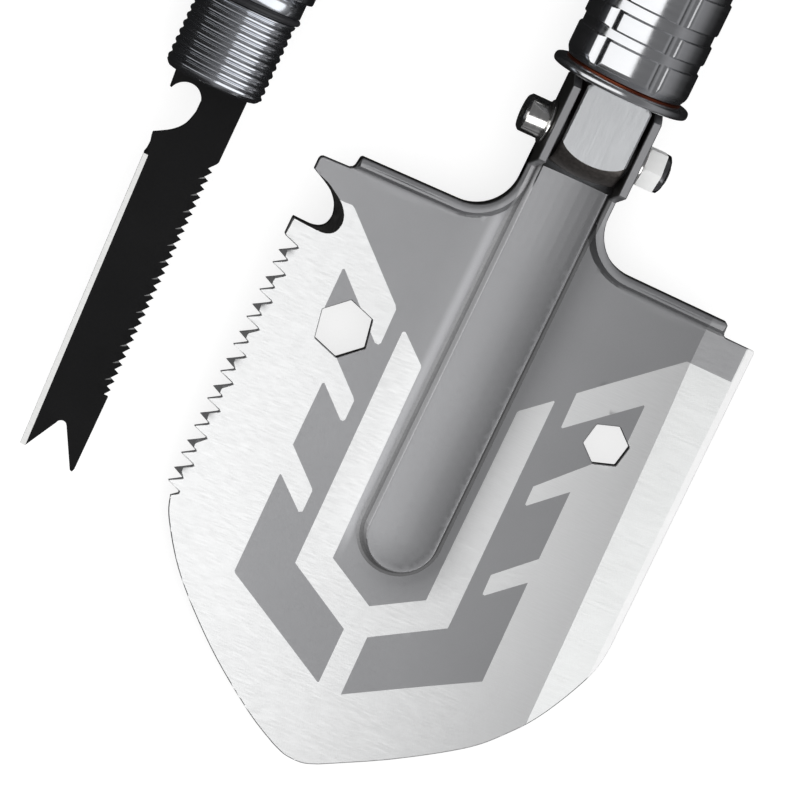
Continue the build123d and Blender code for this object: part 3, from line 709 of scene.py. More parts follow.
def lip_reach(x, y):
    """Distance inwards from the neck's and the lip's outer edge, or a large number."""
    ax = abs(x)
    if ax > NECK_HALF + NECK_FILLET:
        return LIP_Y - y if ax < LIP_END_X + 0.5 else 99.0
    if y > LIP_Y + NECK_FILLET:
        return NECK_HALF - ax
    return math.hypot(NECK_HALF + NECK_FILLET - ax, LIP_Y + NECK_FILLET - y) - NECK_FILLET


def lip_height(x, y):
    reach = lip_reach(x, y)
    if reach < LIP_TOP:
        return LIP_RISE - LIP_SLOPE * max(0.0, LIP_RIDGE - reach)
    if reach > LIP_FOOT:
        return 0.0
    t = (reach - LIP_TOP) / (LIP_FOOT - LIP_TOP)
    return LIP_RISE * (1 - t) ** 2


def blade_top(x, y):
    height = dish(x) + SHEET
    edge_x = bevel_x(y)
    if x > edge_x:
        start = dish(edge_x) + SHEET
        end = dish(HALF_WIDTH) + EDGE_LAND
        height = start + (end - start) * (x - edge_x) / (HALF_WIDTH - edge_x)
    lip = lip_height(x, y)
    rib = along_profile(RIB_HEIGHTS, rib_reach(x, y))
    height += max(rib, lip) if rib > 0 else lip + rib * max(0.0, 1 - lip / 0.6)
    if x < LEFT_WORK_X:
        if HOOK_SPAN[0] < y < HOOK_SPAN[1] and inside((x, y), HOOK_BEVEL):
            height -= HOOK_SLOPE * min(HOOK_WIDTH, line_distance(x, y, HOOK_FACE))
        if on_facet(x, y):
            height -= FACET_SLOPE * max(0.0, FACET_X - x)
    return height


def blade_bottom(x, y):
    rib = max(0.0, along_profile(RIB_HEIGHTS, rib_reach(x, y) + RIB_BACK_SHRINK))
    height = dish(x) + rib
    if x > bevel_x(y) or x < LEFT_WORK_X:
        height = min(height, blade_top(x, y) - THIN_EDGE)
    if x < SAW_BACK_X and y < SAW_TOP_Y:
        height += SAW_BACK_RISE * min(1.0, (SAW_BACK_X - x) / SAW_BACK_WIDTH)
    if y < TIP_ZONE_Y:
        height += TIP_BACK_RISE * max(0.0, 1 - line_distance(x, y, LOWER_EDGE) / TIP_BACK_WIDTH)
        height = min(height, blade_top(x, y) - 0.4)
    return max(height, 0.02)


def blade_paint(x, y):
    if x > KEEN_X:
        return KEEN
    if x < LEFT_WORK_X:
        # The hook's bevel and the teeth's slanted faces carry painted shade.
        if inside((x, y), HOOK_BEVEL):
            return HOOK_BEVEL_SHADE
        if on_facet(x, y):
            return TOOTH_FACET_SHADE
    reach = rib_reach(x, y)
    # Painted light and shade round the rib, stepped from its left side round its end to its right side.
    if y < RIB_PAINT_Y and reach < CREASE_END:
        round_end = (x + max(0.0, RIB_END_Y - y) - SHADE_START) / SHADE_SPAN
        shade = round((SHADES - 1) * max(0.0, min(1.0, round_end)))
        if reach > FADE_START:
            return CREASE_FADE_SHADES[shade]
        if reach > RIB_EDGE[1]:
            return CREASE_SHADES[shade] if reach > WALL_END else RIB_WALL_SHADES[shade]
        if reach > RIB_EDGE[0] and y < EDGE_HIGHLIGHT_Y:
            return EDGE_HIGHLIGHT if shade > LIGHT_SHADES else RIB_WALL_SHADES[shade]
        return MATTE
    if inside((x, y), DARK_ZONE):
        return MATTE_BEVEL if x > bevel_x(y) else MATTE
    return GROUND if x > bevel_x(y) else BRUSHED


def blade_wall(x, y):
    """The cut edge: ground white on the right and towards the tip, dark elsewhere."""
    if x < -70 and -121 < y < SAW_TOP_Y:
        return TOOTH_WALL
    return KEEN if (x > 68 and y < -0.5) or (x > -48 and y < -150) else CUT_AND_SHADE


def blade_lines():
    lines = [divide(DARK_ZONE + DARK_ZONE[:1], 4.0), divide(BEVEL_LINE, 4.0),
             divide(spline(HOOK_FACE, 3), 1.0)]
    lines.append(divide([(KEEN_X, 1.0), (KEEN_X, -121.0)], 4.0))
    lines += [facet + facet[:1] for facet in FACETS]
    for reach in [knot[0] for knot in RIB_HEIGHTS[1:]] + [RIB_EDGE[1], WALL_END, FADE_START, CREASE_END]:
        lines.append(divide([(-reach, RIB_PAINT_Y), (-reach, RIB_END_Y)], 3.0)
                     + arc((0, RIB_END_Y), reach, 180, 360, 40)
                     + divide([(reach, RIB_END_Y), (reach, RIB_PAINT_Y)], 3.0))
    for away in (0.7, LIP_RIDGE, 2.1, LIP_TOP - 0.15, LIP_TOP, 3.1, 3.5, 4.0, LIP_FOOT):
        for side in (-1, 1):
            lines.append([p for p in top_edge(side, away) if p[1] < 28])
    return lines


def blade_points():
    points = grid(-HALF_WIDTH, HALF_WIDTH, TIP_Y, 4.0, 2.0)
    points += grid(-15.5, 15.5, 0.0, RIB_PAINT_Y, 1.1)
    points += grid(-78.0, -72.0, -24.0, -4.0, 1.3)
    return points


EAR_TOP = 10.6
EAR_END = 18.7
EAR_FOOT_Y = 25.1
EAR_SHOULDER_Y = 29.3
BOLT_HOLE = 4.1


def prism(outline, x0, x1, edge, side_mat, rim_mat, hole=None):
    """A plate across X with chamfered edges, from an outline in (y, z)."""
    verts, faces, mats = [], [], []
    loops = [(outline, 0.0)]
    if hole:
        loops.append((hole, 1.0))
    caps = []
    for loop, is_hole in loops:
        inner = inset(loop, -edge if is_hole else edge)
        rings = [(inner, x0), (loop, x0 + edge), (loop, x1 - edge), (inner, x1)]
        starts = []
        for ring, x in rings:
            starts.append(len(verts))
            verts += [(x, p[0], p[1]) for p in ring]
        size = len(loop)
        for a, b in zip(starts, starts[1:]):
            for k in range(size):
                n = (k + 1) % size
                faces.append([a + k, a + n, b + n, b + k])
                mats.append(rim_mat)
        caps.append((inner, starts[0], starts[-1]))
    coords, edges, index = [], [], []
    for inner, low, high in caps:
        first = len(coords)
        coords += [Vector(p) for p in inner]
        index += [(low + k, high + k) for k in range(len(inner))]
        edges += [(first + k, first + (k + 1) % len(inner)) for k in range(len(inner))]
    plan, _, triangles, origin, _, _ = delaunay_2d_cdt(coords, edges, [], 0, 1e-5)
    for face in triangles:
        middle = [sum(plan[i][k] for i in face) / 3 for k in (0, 1)]
        if not inside(middle, caps[0][0]) or (hole and inside(middle, caps[1][0])):
            continue
        faces.append([index[origin[i][0]][0] for i in face])
        faces.append([index[origin[i][0]][1] for i in reversed(face)])
        mats += [side_mat, side_mat]
    return verts, faces, mats


def ear(side):
    """One clevis ear: its end round about the pivot, a slanted step down to the neck's flange."""
    top = PIVOT_Z + EAR_TOP
    start = math.degrees(math.asin(EAR_TOP / EAR_END))
    end = -math.degrees(math.asin(PIVOT_Z / EAR_END))
    flange_top = SHEET + LIP_RISE - 0.1
    outline = [(EAR_FOOT_Y - 9, 0.5), (EAR_FOOT_Y - 9, flange_top), (EAR_FOOT_Y, flange_top)]
    outline += [(EAR_SHOULDER_Y - 0.3, top - 0.5), (EAR_SHOULDER_Y + 0.4, top)]
    outline += arc((PIVOT_Y, PIVOT_Z), EAR_END, start, end, 16)
    hole = arc((PIVOT_Y, PIVOT_Z), BOLT_HOLE, 0, 360, 40)[:-1]
    x0 = NECK_HALF - EAR_THICK if side > 0 else -NECK_HALF
    # The ears' flat sides take the dark cut finish as painted shade.
    return prism(outline, x0, x0 + EAR_THICK, 0.3, CUT_AND_SHADE, MATTE, hole)


blade_sheet = plan_solid(
    blade_outline(), [hexagon(BIG_HEX), hexagon(SMALL_HEX)], blade_lines(), blade_points(),
    blade_top, blade_bottom, blade_paint, blade_wall, BLADE_BACK,
)
build("blade_body", [blade_sheet, ear(-1), ear(1)], HEAD, "head", "shovel_blade", crease=18.0)


# ------------------------------ fold pivot, about the pivot's axis
WASHER_THICK = 1.4
WASHER_RADIUS = 7.6
BOLT_RADIUS = 4.0
HEAD_OUT = NECK_HALF + WASHER_THICK


def pivot_bolt():
    """Chamfered cylinder head with a hexagonal socket, and the shank through to the nut."""
    head = HEAD_OUT + 8.0
    profile = soften([(0, -head + 4.0), (2.9, -head + 3.4), (2.9, -head), (5.6, -head), (6.5, -head + 0.9),
                      (6.5, -HEAD_OUT), (BOLT_RADIUS, -HEAD_OUT), (BOLT_RADIUS, HEAD_OUT + 8.6),
                      (3.4, HEAD_OUT + 9.2),
                      (0, HEAD_OUT + 9.2)], [0, 0.1, 0.15, 0.3, 0.5, 0.3, 0, 0.1, 0.1, 0], 4)

    def socket(angle, station, radius):
        if station > -head + 4.0 or radius > 3.0 or radius < 2.0:
            return radius
        part = (angle % (math.pi / 3)) - math.pi / 6
        return 2.5 / math.cos(part)

    return lathe(profile, even_angles(72), BOLT, socket, axis="X")


def pivot_nut():
    """A hexagon whose outer end is turned to a dome."""
    flats = 13.0
    corner = flats / math.sqrt(3)
    end = HEAD_OUT + 8.6
    profile = soften([(BOLT_RADIUS, HEAD_OUT), (corner - 0.5, HEAD_OUT), (corner, HEAD_OUT + 0.6),
                      (corner, end - 2.4), (6.6, end - 0.7), (5.4, end), (BOLT_RADIUS, end)],
                     [0, 0.3, 0.3, 0.8, 0.8, 0.4, 0.2], 4)

    def flat_sides(angle, station, radius):
        part = (angle % (math.pi / 3)) - math.pi / 6
        return min(radius, flats / 2 / math.cos(part))

    # The domed outer end carries painted shade.
    def shaded_end(angle, station, radius):
        return NUT_END_SHADE if station > end - 2.0 and radius > 5.6 else NUT

    return lathe(profile, even_angles(96), NUT, flat_sides, shaded_end, axis="X")


def pivot_washer(side):
    low, high = sorted((side * NECK_HALF, side * HEAD_OUT))
    profile = soften([(BOLT_HOLE, low), (WASHER_RADIUS, low), (WASHER_RADIUS, high), (BOLT_HOLE, high)],
                     [0, 0.4, 0.4, 0], 3)
    return lathe(profile, even_angles(64), BOLT, axis="X")


build("pivot_bolt_turned", [pivot_bolt()], HANDLE, "head", "pivot_bolt")
build("pivot_nut_domed", [pivot_nut()], HANDLE, "head", "pivot_nut")
build("pivot_washer_pair", [pivot_washer(-1), pivot_washer(1)], HANDLE, "head", "pivot_washers")


# ------------------------------ knuckle, shank and lock ring
KNUCKLE_HALF = 11.5
KNUCKLE_BACK = 7.4
KNUCKLE_SWEEP = 12.25
KNUCKLE_CROWN = 46.0
RING_FRONT = 19.05
RING_THICK = 3.5
RING_RADIUS = 23.85
SHANK_RADIUS = 14.0
SHANK_END = 56.0
RING_BORE = 14.05
WASHER_OUT = 20.2


def crown_radius(x):
    return KNUCKLE_SWEEP - KNUCKLE_CROWN + math.sqrt(KNUCKLE_CROWN ** 2 - x * x)


def block_height(x, y, face):
    """The block's height over the pivot's plane, its free end rounded about the pivot."""
    if y >= 0:
        return face
    return min(face, math.sqrt(max(0.05, crown_radius(x) ** 2 - y * y)))


def knuckle_block():
    across = [x * KNUCKLE_HALF / 12 for x in range(-12, 13)]
    nose = [(x, -crown_radius(x)) for x in across]
    outline = nose + [(KNUCKLE_HALF, RING_FRONT - 1.8), (KNUCKLE_HALF - 1.8, RING_FRONT),
                      (-KNUCKLE_HALF + 1.8, RING_FRONT), (-KNUCKLE_HALF, RING_FRONT - 1.8)]
    outline = divide(outline, 2.0, closed=True)
    lines = []
    for face in (EAR_TOP, KNUCKLE_BACK):
        for drop in (0.0, 0.35, 1.2, 3.0, 5.5):
            level = face - drop
            lines.append([(x, -math.sqrt(max(0.01, crown_radius(x) ** 2 - level ** 2))) for x in across])
    points = grid(-KNUCKLE_HALF + 0.5, KNUCKLE_HALF - 0.5, -11.8, RING_FRONT - 0.8, 1.2)

    # The rounded end below the top face, and the block's sides, carry painted shade.
    def paint(x, y):
        return KNUCKLE if y > 0 or crown_radius(x) ** 2 - y * y > EAR_TOP ** 2 else KNUCKLE_SHADE

    return plan_solid(outline, [], lines, points, lambda x, y: block_height(x, y, EAR_TOP),
                      lambda x, y: -block_height(x, y, KNUCKLE_BACK), paint, lambda x, y: KNUCKLE_SHADE,
                      KNUCKLE, rim=0.6)


def knuckle_shank():
    spigot, spigot_end = 10.0, 82.0
    groove, groove_start, groove_end = 13.0, 54.5, 55.7
    profile = soften([(0, RING_FRONT - 0.3), (SHANK_RADIUS, RING_FRONT - 0.3), (SHANK_RADIUS, groove_start),
                      (groove, groove_start), (groove, groove_end), (SHANK_RADIUS, groove_end),
                      (SHANK_RADIUS, SHANK_END), (spigot, SHANK_END), (spigot, spigot_end),
                      (0, spigot_end)], [0, 0.3, 0.1, 0.1, 0.1, 0.1, 0.1, 0.3, 0.8, 0], 2)
    return lathe(profile, even_angles(96), KNUCKLE)


build("knuckle_body", [knuckle_block(), knuckle_shank()], HANDLE, "handle", "neck_knuckle")


def thrust_ring():
    low, high = RING_FRONT, RING_FRONT + RING_THICK
    profile = soften([(RING_BORE, low), (20.5, low), (RING_RADIUS, low + 0.35), (RING_RADIUS, high - 0.35),
                      (20.5, high), (RING_BORE, high)], [0.2, 1.0, 1.5, 1.5, 1.0, 0.2], 8)
    return lathe(profile, even_angles(144), RING)


def thrust_washer():
    low = RING_FRONT + RING_THICK
    profile = soften([(RING_BORE, low), (WASHER_OUT, low), (WASHER_OUT, low + 0.5), (RING_BORE, low + 0.5)],
                     0.15, 2)
    return lathe(profile, even_angles(120), COPPER)


build("lock_flange", [thrust_ring()], HANDLE, "lock_ring", "thrust_ring")
build("lock_washer", [thrust_washer()], HANDLE, "lock_ring", "thrust_washer")


# ------------------------------ locking collar
COLLAR_START = 23.2
COLLAR_RADIUS = 21.4
COLLAR_LENGTH = 52.0
COLLAR_GROOVES = ((11.1, 4.0), (21.1, 4.5), (36.0, 4.5))
GROOVE_DEPTH = 0.8
COLLAR_SLEEVE = 19.4
COLLAR_THREAD_END = 22.0
FLUTES = 6
FLUTE_RADIUS = 3.6
FLUTE_TURN = 17.5


def fluted_angles():
    """Angles round the collar, close together across each flute."""
    half = math.asin(2.27 / COLLAR_RADIUS)
    out = []
    for index in range(FLUTES):
        middle = math.radians(FLUTE_TURN + index * 360 / FLUTES)
        out += [middle + half * k / 6 for k in range(-6, 7)]
        gap = 2 * math.pi / FLUTES - 2 * half
        out += [middle + half + gap * k / 16 for k in range(1, 16)]
    return out


def fluted(angle, station, radius):
    """The collar's radius, less the long rounded flutes."""
    if radius < COLLAR_RADIUS - 2.5:
        return radius
    pitch = 2 * math.pi / FLUTES
    away = (angle - math.radians(FLUTE_TURN) + pitch / 2) % pitch - pitch / 2
    middle = COLLAR_RADIUS - GROOVE_DEPTH + FLUTE_RADIUS
    side = middle * math.sin(away)
    if abs(side) >= FLUTE_RADIUS:
        return radius
    return min(radius, middle * math.cos(away) - math.sqrt(FLUTE_RADIUS ** 2 - side ** 2))


def locking_collar():
    deep = COLLAR_RADIUS - GROOVE_DEPTH
    points = [(RING_BORE, 0), (COLLAR_RADIUS - 1.5, 0), (COLLAR_RADIUS - 0.25, 2.2), (COLLAR_RADIUS, 3.4)]
    radii = [0.2, 0.5, 2.0, 1.0]
    for at, width in COLLAR_GROOVES:
        points += [(COLLAR_RADIUS, at), (deep, at + 0.4), (deep, at + width - 0.4),
                   (COLLAR_RADIUS, at + width)]
        radii += [0.3, 0.3, 0.3, 0.3]
    points += [(COLLAR_RADIUS, COLLAR_LENGTH - 1.2), (COLLAR_RADIUS - 1.2, COLLAR_LENGTH),
               (COLLAR_SLEEVE, COLLAR_LENGTH), (COLLAR_SLEEVE, COLLAR_THREAD_END),
               (RING_BORE, COLLAR_THREAD_END)]
    radii += [0.8, 0.6, 0.2, 0.2, 0.2]
    profile = [(radius, COLLAR_START + station) for radius, station in soften(points, radii, 4)]
    return lathe(profile, fluted_angles(), CHROME, fluted)


build("collar_fluted", [locking_collar()], HANDLE, "collar", "locking_collar", crease=40.0)


# ------------------------------ tubes
TUBE_RADIUS = 19.0
TUBE_START = 57.0
TUBE_LENGTH = 190.0
TUBE_BORE = 16.3
TUBE_THREAD = 17.0
TUBE_THREAD_LENGTH = 32.0
TUBE_RING_PITCH = 2.6
TUBE_RING_DEPTH = 0.5
GROOVE_PITCH = 4.0
GROOVE_WIDTH = 1.6
KNURLS = 40
KNURL_DEPTH = 0.35
KNURL_ROW = 0.62


def knurl(first, last, outer):
    """Diamond knurling between two stations, as a radius for lathe."""
    def shape(angle, station, radius):
        if not first < station < last or radius < outer - 0.01:
            return radius
        fade = min(1.0, (station - first) / 1.5, (last - station) / 1.5)
        twist = (station - first) / outer
        parts = [(KNURLS * (angle + side * twist) / (2 * math.pi)) % 1.0 for side in (-1, 1)]
        ridges = [abs(part - 0.5) * 2 for part in parts]
        return radius - KNURL_DEPTH * fade * (1 - min(ridges))
    return shape


def grooved(outer, start):
    """Three grooves round a tube from a station on."""
    points = []
    for index in range(3):
        at = start + index * GROOVE_PITCH
        points += [(outer, at), (outer - 0.6, at + 0.25), (outer - 0.6, at + GROOVE_WIDTH - 0.25),
                   (outer, at + GROOVE_WIDTH)]
    return points


def knurl_rows(outer, first, last):
    count = int((last - first) / KNURL_ROW)
    return [(outer, first + (last - first) * k / count) for k in range(count + 1)]


def front_tube():
    end = TUBE_START + TUBE_LENGTH
    knurl_first, knurl_last = TUBE_START + 48, TUBE_START + 138
    points = [(TUBE_BORE, TUBE_START), (TUBE_RADIUS - 0.5, TUBE_START), (TUBE_RADIUS, TUBE_START + 0.5)]
    points += grooved(TUBE_RADIUS, TUBE_START + 26.0)
    points += knurl_rows(TUBE_RADIUS, knurl_first, knurl_last)
    points += grooved(TUBE_RADIUS, TUBE_START + 150.0)
    points += [(TUBE_RADIUS, end - 0.8), (TUBE_RADIUS - 0.8, end), (17.6, end), (TUBE_THREAD, end - 0.6)]
    for index in range(11):
        at = end - 2.0 - index * TUBE_RING_PITCH
        points += [(TUBE_THREAD, at), (TUBE_THREAD, at - 1.0), (TUBE_THREAD + TUBE_RING_DEPTH, at - 1.5),
                   (TUBE_THREAD + TUBE_RING_DEPTH, at - 2.0)]
    points += [(TUBE_THREAD, end - TUBE_THREAD_LENGTH), (TUBE_BORE, end - TUBE_THREAD_LENGTH)]
    return lathe(points, even_angles(KNURLS * 6), TUBE, knurl(knurl_first, knurl_last, TUBE_RADIUS))


build("front_tube_knurled", [front_tube()], HANDLE, "handle", "front_tube", crease=40.0)


# ------------------------------ knife, its threaded holder and the rear grip
THREAD_RADIUS = 16.9
THREAD_START = 4.6
THREAD_END = 33.0
THREAD_PITCH = 2.85
THREAD_DEPTH = 0.75
HOLDER_NECK = 15.6
HOLDER_LAND = (35.2, 41.0)
HOLDER_END = 62.0
GRIP_BORE = 16.5
FERRULE_LENGTH = 8.0
GRIP_TUBE_LENGTH = 88.0
GRIP_TUBE_RADIUS = 18.8
KNIFE_HALF = 1.3
KNIFE_TEETH = 27
KNIFE_TOOTH_PITCH = 3.0
KNIFE_TOOTH_TOP = -20.5
CAP_RADIUS = 18.5
CAP_SEAL = 1.6
CAP_BODY = 16.0
CAP_SCALLOPS = 12
LANYARD_RADIUS = 2.5
GRIP_START = HOLDER_LAND[1] + FERRULE_LENGTH
GRIP_END = GRIP_START + GRIP_TUBE_LENGTH
CAP_START = GRIP_END + CAP_SEAL
CAP_END = CAP_START + CAP_BODY
THREAD_ROWS = 120
THREAD_ANGLES = 400


def thread_shape(angle, station, radius):
    """Rounded helical ridges that fade in behind the rounded lead-in."""
    if not THREAD_START + 1.6 < station < THREAD_END - 0.6 or radius < HOLDER_NECK + 0.1:
        return radius
    fade = min(1.0, (station - THREAD_START - 1.6) / 1.2, (THREAD_END - 0.6 - station) / 0.8)
    turn = (station / THREAD_PITCH + angle / (2 * math.pi)) % 1.0
    valley = (0.5 + 0.5 * math.cos(2 * math.pi * turn)) ** 1.4
    return radius - THREAD_DEPTH * fade * valley


def knife_holder():
    points = [(0, THREAD_START), (14.2, THREAD_START), (15.2, THREAD_START + 0.25),
              (15.9, THREAD_START + 0.8), (16.4, THREAD_START + 1.5)]
    first, last = THREAD_START + 1.9, THREAD_END - 0.5
    points += [(THREAD_RADIUS, first + (last - first) * k / THREAD_ROWS) for k in range(THREAD_ROWS + 1)]
    land_start, land_end = HOLDER_LAND
    points += [(HOLDER_NECK, THREAD_END), (HOLDER_NECK, land_start), (16.7, land_start),
               (17.1, land_start + 0.4), (17.1, land_end - 0.1), (16.9, land_end), (GRIP_BORE, land_end),
               (GRIP_BORE, HOLDER_END - 0.8), (GRIP_BORE - 0.8, HOLDER_END), (0, HOLDER_END)]
    return lathe(points, even_angles(THREAD_ANGLES), HOLDER, thread_shape)


def o_ring():
    radius = (HOLDER_LAND[0] - THREAD_END) / 2
    middle = HOLDER_NECK + radius
    profile = [(middle + radius * math.cos(a), THREAD_END + radius + radius * math.sin(a))
               for a in even_angles(20)]
    return lathe(profile, even_angles(120), RUBBER)


def grip_ferrule():
    start = HOLDER_LAND[1]
    profile = soften([(GRIP_BORE, start), (TUBE_RADIUS, start), (TUBE_RADIUS, GRIP_START),
                      (GRIP_BORE, GRIP_START)], [0.1, 0.8, 0.3, 0.1], 5)
    return lathe(profile, even_angles(120), FERRULE)


def grip_tube():
    knurl_first, knurl_last = GRIP_START + 20, GRIP_END - 20
    points = [(GRIP_BORE, GRIP_START), (GRIP_TUBE_RADIUS - 0.3, GRIP_START),
              (GRIP_TUBE_RADIUS, GRIP_START + 0.3)]
    points += grooved(GRIP_TUBE_RADIUS, GRIP_START + 6.0)
    points += knurl_rows(GRIP_TUBE_RADIUS, knurl_first, knurl_last)
    points += grooved(GRIP_TUBE_RADIUS, GRIP_START + (GRIP_TUBE_LENGTH - 16))
    points += [(GRIP_TUBE_RADIUS, GRIP_END - 0.4), (GRIP_TUBE_RADIUS - 0.4, GRIP_END), (GRIP_BORE, GRIP_END)]
    return lathe(points, even_angles(KNURLS * 6), TUBE, knurl(knurl_first, knurl_last, GRIP_TUBE_RADIUS))


def cap_seal():
    inner, outer = 15.2, GRIP_TUBE_RADIUS - 0.5
    profile = soften([(inner, GRIP_END), (outer, GRIP_END), (outer, CAP_START), (inner, CAP_START)],
                     [0.1, 0.7, 0.7, 0.1], 5)
    return lathe(profile, even_angles(96), RUBBER)


def butt_cap():
    """The end cap with its scallops and its plug into the tube; the lanyard hole is drilled later."""
    start, seat, plug = CAP_START - CAP_SEAL, 15.1, 16.4
    points = [(0, start - 12.0), (15.6, start - 12.0), (plug, start - 11.2), (plug, start - 1.0),
              (seat, start - 1.0), (seat, CAP_START), (CAP_RADIUS - 0.8, CAP_START),
              (CAP_RADIUS, CAP_START + 0.8)]
    points += [(CAP_RADIUS, CAP_START + 1.2 + k * 0.6) for k in range(15)]
    points += [(CAP_RADIUS - 0.4, CAP_END - 4.0), (CAP_RADIUS - 1.5, CAP_END - 2.2),
               (CAP_RADIUS - 3.0, CAP_END - 0.8), (CAP_RADIUS - 5.0, CAP_END - 0.1),
               (CAP_RADIUS - 7.0, CAP_END), (0, CAP_END)]

    def scalloped(angle, station, radius):
        if radius < CAP_RADIUS - 0.01:
            return radius
        fade = max(0.0, min(1.0, (station - CAP_START - 1.2) / 1.5, (CAP_START + 10.0 - station) / 1.5))
        part = (CAP_SCALLOPS * angle / (2 * math.pi)) % 1.0 - 0.5
        return radius - 0.8 * fade * max(0.0, 1 - (part / 0.28) ** 2)

    return lathe(points, even_angles(144), CAP, scalloped)


def knife_outline():
    hook = arc((-6.2, -3.5), 5.8, 160, 20, 14)
    hook += spline([(-0.75, -5.5), (-2.2, -10.2), (-5.4, -13.8), (-10.8, -17.0)], 5)
    left = [(-10.7, -18.2), (-10.2, -20.3), (-10.3, -22.5), (-10.7, -24.0), (-7.3, -127.0), (-5.7, -127.0),
            (0.6, -115.8)]
    notch = arc((2.35, -116.6), 2.0, 152, 28, 8)
    right = [(4.2, -115.7), (11.3, -128.5), (11.9, -128.6), (12.3, -127.5)]
    foot = KNIFE_TOOTH_TOP - KNIFE_TEETH * KNIFE_TOOTH_PITCH
    right += [(12.3, foot), (10.5, foot)]
    for index in reversed(range(KNIFE_TEETH)):
        top = KNIFE_TOOTH_TOP - index * KNIFE_TOOTH_PITCH
        right += [(12.3, top - 0.8), (10.4, top)]
    right += [(12.3, -18.3), (12.8, -17.4), (12.8, 4.4), (10.0, 4.4), (10.0, 24.0), (-10.0, 24.0),
              (-10.0, 4.4), (-12.5, 4.4), (-12.0, -1.4)]
    return hook + left + notch + right


GRIND_TOP = (-9.2, -25.5)
GRIND_FOOT = (-5.6, -127.5)
GRIND_WIDTH = 1.9
GRIND_PAINT_Y = -24.6
GRIND_END_Y = -127.6
KEEN_HALF = 0.2
TEETH_X = 10.4
TEETH_END_Y = -101.5


def grind_x(y):
    t = (y - GRIND_TOP[1]) / (GRIND_FOOT[1] - GRIND_TOP[1])
    return GRIND_TOP[0] + (GRIND_FOOT[0] - GRIND_TOP[0]) * t


def knife_facets():
    """The small bright faces filed beside the teeth's gullets."""
    out = []
    for index in range(1, KNIFE_TEETH, 2):
        top = KNIFE_TOOTH_TOP - index * KNIFE_TOOTH_PITCH
        out.append([(10.5, top + 0.1), (8.8, top - 1.3), (9.7, top - 1.0), (10.9, top - 0.4)])
    return out


KNIFE_FACETS = knife_facets()


def knife_half(x, y):
    """Half the knife's thickness, less towards the ground edge on the left and at the teeth."""
    if GRIND_END_Y < y < -24.0:
        near = (grind_x(y) - x) / GRIND_WIDTH
        if near > 0:
            return KNIFE_HALF - (KNIFE_HALF - KEEN_HALF) * min(1.0, near)
    if x > TEETH_X and KNIFE_TOOTH_TOP > y > TEETH_END_Y:
        return KNIFE_HALF - 0.35 * (x - TEETH_X)
    return KNIFE_HALF


def knife_paint(x, y):
    if GRIND_END_Y < y < GRIND_PAINT_Y and x < grind_x(y):
        return KNIFE_GROUND
    if x > 8.0 and any(inside((x, y), facet) for facet in KNIFE_FACETS):
        return KNIFE_FACET
    return KNIFE


knife_lines = [divide([(GRIND_TOP[0], GRIND_PAINT_Y), GRIND_FOOT], 5.0),
               [(TEETH_X, KNIFE_TOOTH_TOP), (TEETH_X, TEETH_END_Y)],
               [(-12.0, GRIND_PAINT_Y), (-8.0, GRIND_PAINT_Y)]]
knife_lines += [facet + facet[:1] for facet in KNIFE_FACETS]
knife_plate = plan_solid(
    knife_outline(), [], knife_lines, grid(-12.0, 12.5, -126.0, 4.0, 3.0),
    knife_half, lambda x, y: -knife_half(x, y), knife_paint, lambda x, y: KNIFE, KNIFE, rim=0.15,
)
build("knife_plate", [knife_plate], GRIP, "grip", "knife_blade", crease=20.0)
build("holder_threaded", [knife_holder()], GRIP, "grip", "knife_holder", crease=80.0)
build("holder_seal", [o_ring()], GRIP, "grip", "holder_o_ring")
build("grip_ferrule_turned", [grip_ferrule()], GRIP, "grip", "grip_ferrule")
build("grip_tube_knurled", [grip_tube()], GRIP, "grip", "grip_tube", crease=40.0)
build("cap_seal_ring", [cap_seal()], GRIP, "cap_seal", "cap_o_ring")
cap_piece = build("butt_cap_scalloped", [butt_cap()], GRIP, "cap", "butt_cap", crease=40.0)


def drill(piece, station, radius):
    """Cuts a hole right across the piece, its rims a little rounded."""
    steps = [(radius, 17.2), (radius + 0.3, 17.8), (radius + 0.9, 20.0), (0, 20.0)]
    profile = [(size, -at) for size, at in reversed(steps)] + steps
    verts, faces, _ = lathe(profile, even_angles(48), CAP, axis="X")
    mesh = bpy.data.meshes.new("drill")
    place = GRIP @ Matrix.Translation((0, station, 0))
    mesh.from_pydata([place @ Vector(v) for v in verts], [], faces)
    work = bmesh.new()
    work.from_mesh(mesh)
    bmesh.ops.recalc_face_normals(work, faces=work.faces)
    work.to_mesh(mesh)
    work.free()
    cutter = add_object("drill", mesh)
    cut = piece.modifiers.new("lanyard", "BOOLEAN")
    cut.operation = "DIFFERENCE"
    cut.object = cutter
    cut.solver = "EXACT"
    bpy.context.view_layer.update()
    shaped = bpy.data.meshes.new_from_object(piece.evaluated_get(bpy.context.evaluated_depsgraph_get()))
    piece.modifiers.clear()
    piece.data = shaped
    bpy.data.objects.remove(cutter)
    shaped.shade_smooth()
    shaped.set_sharp_from_angle(angle=math.radians(40))


drill(cap_piece, CAP_START + CAP_BODY / 2, LANYARD_RADIUS)


# ------------------------------ CAD nodes that stay, each with its finish
KEPT = {
    "pivot_spacers": SPACER,
    "pivot_bush": BRONZE,
    "collar_stop_ring": SPRING,
    "tube_plug": INNER,
    "tube_pin": SPRING,
    "knife_pins": SPRING,
}
for name, mat in KEPT.items():
    for material_slot in bpy.data.objects[name].material_slots:
        material_slot.material = mat


# ------------------------------ floor, light and camera
FLOOR_HALF = 6.0
FLOOR_DROP = 0.0002
FLOOR_GLOW = 0.74


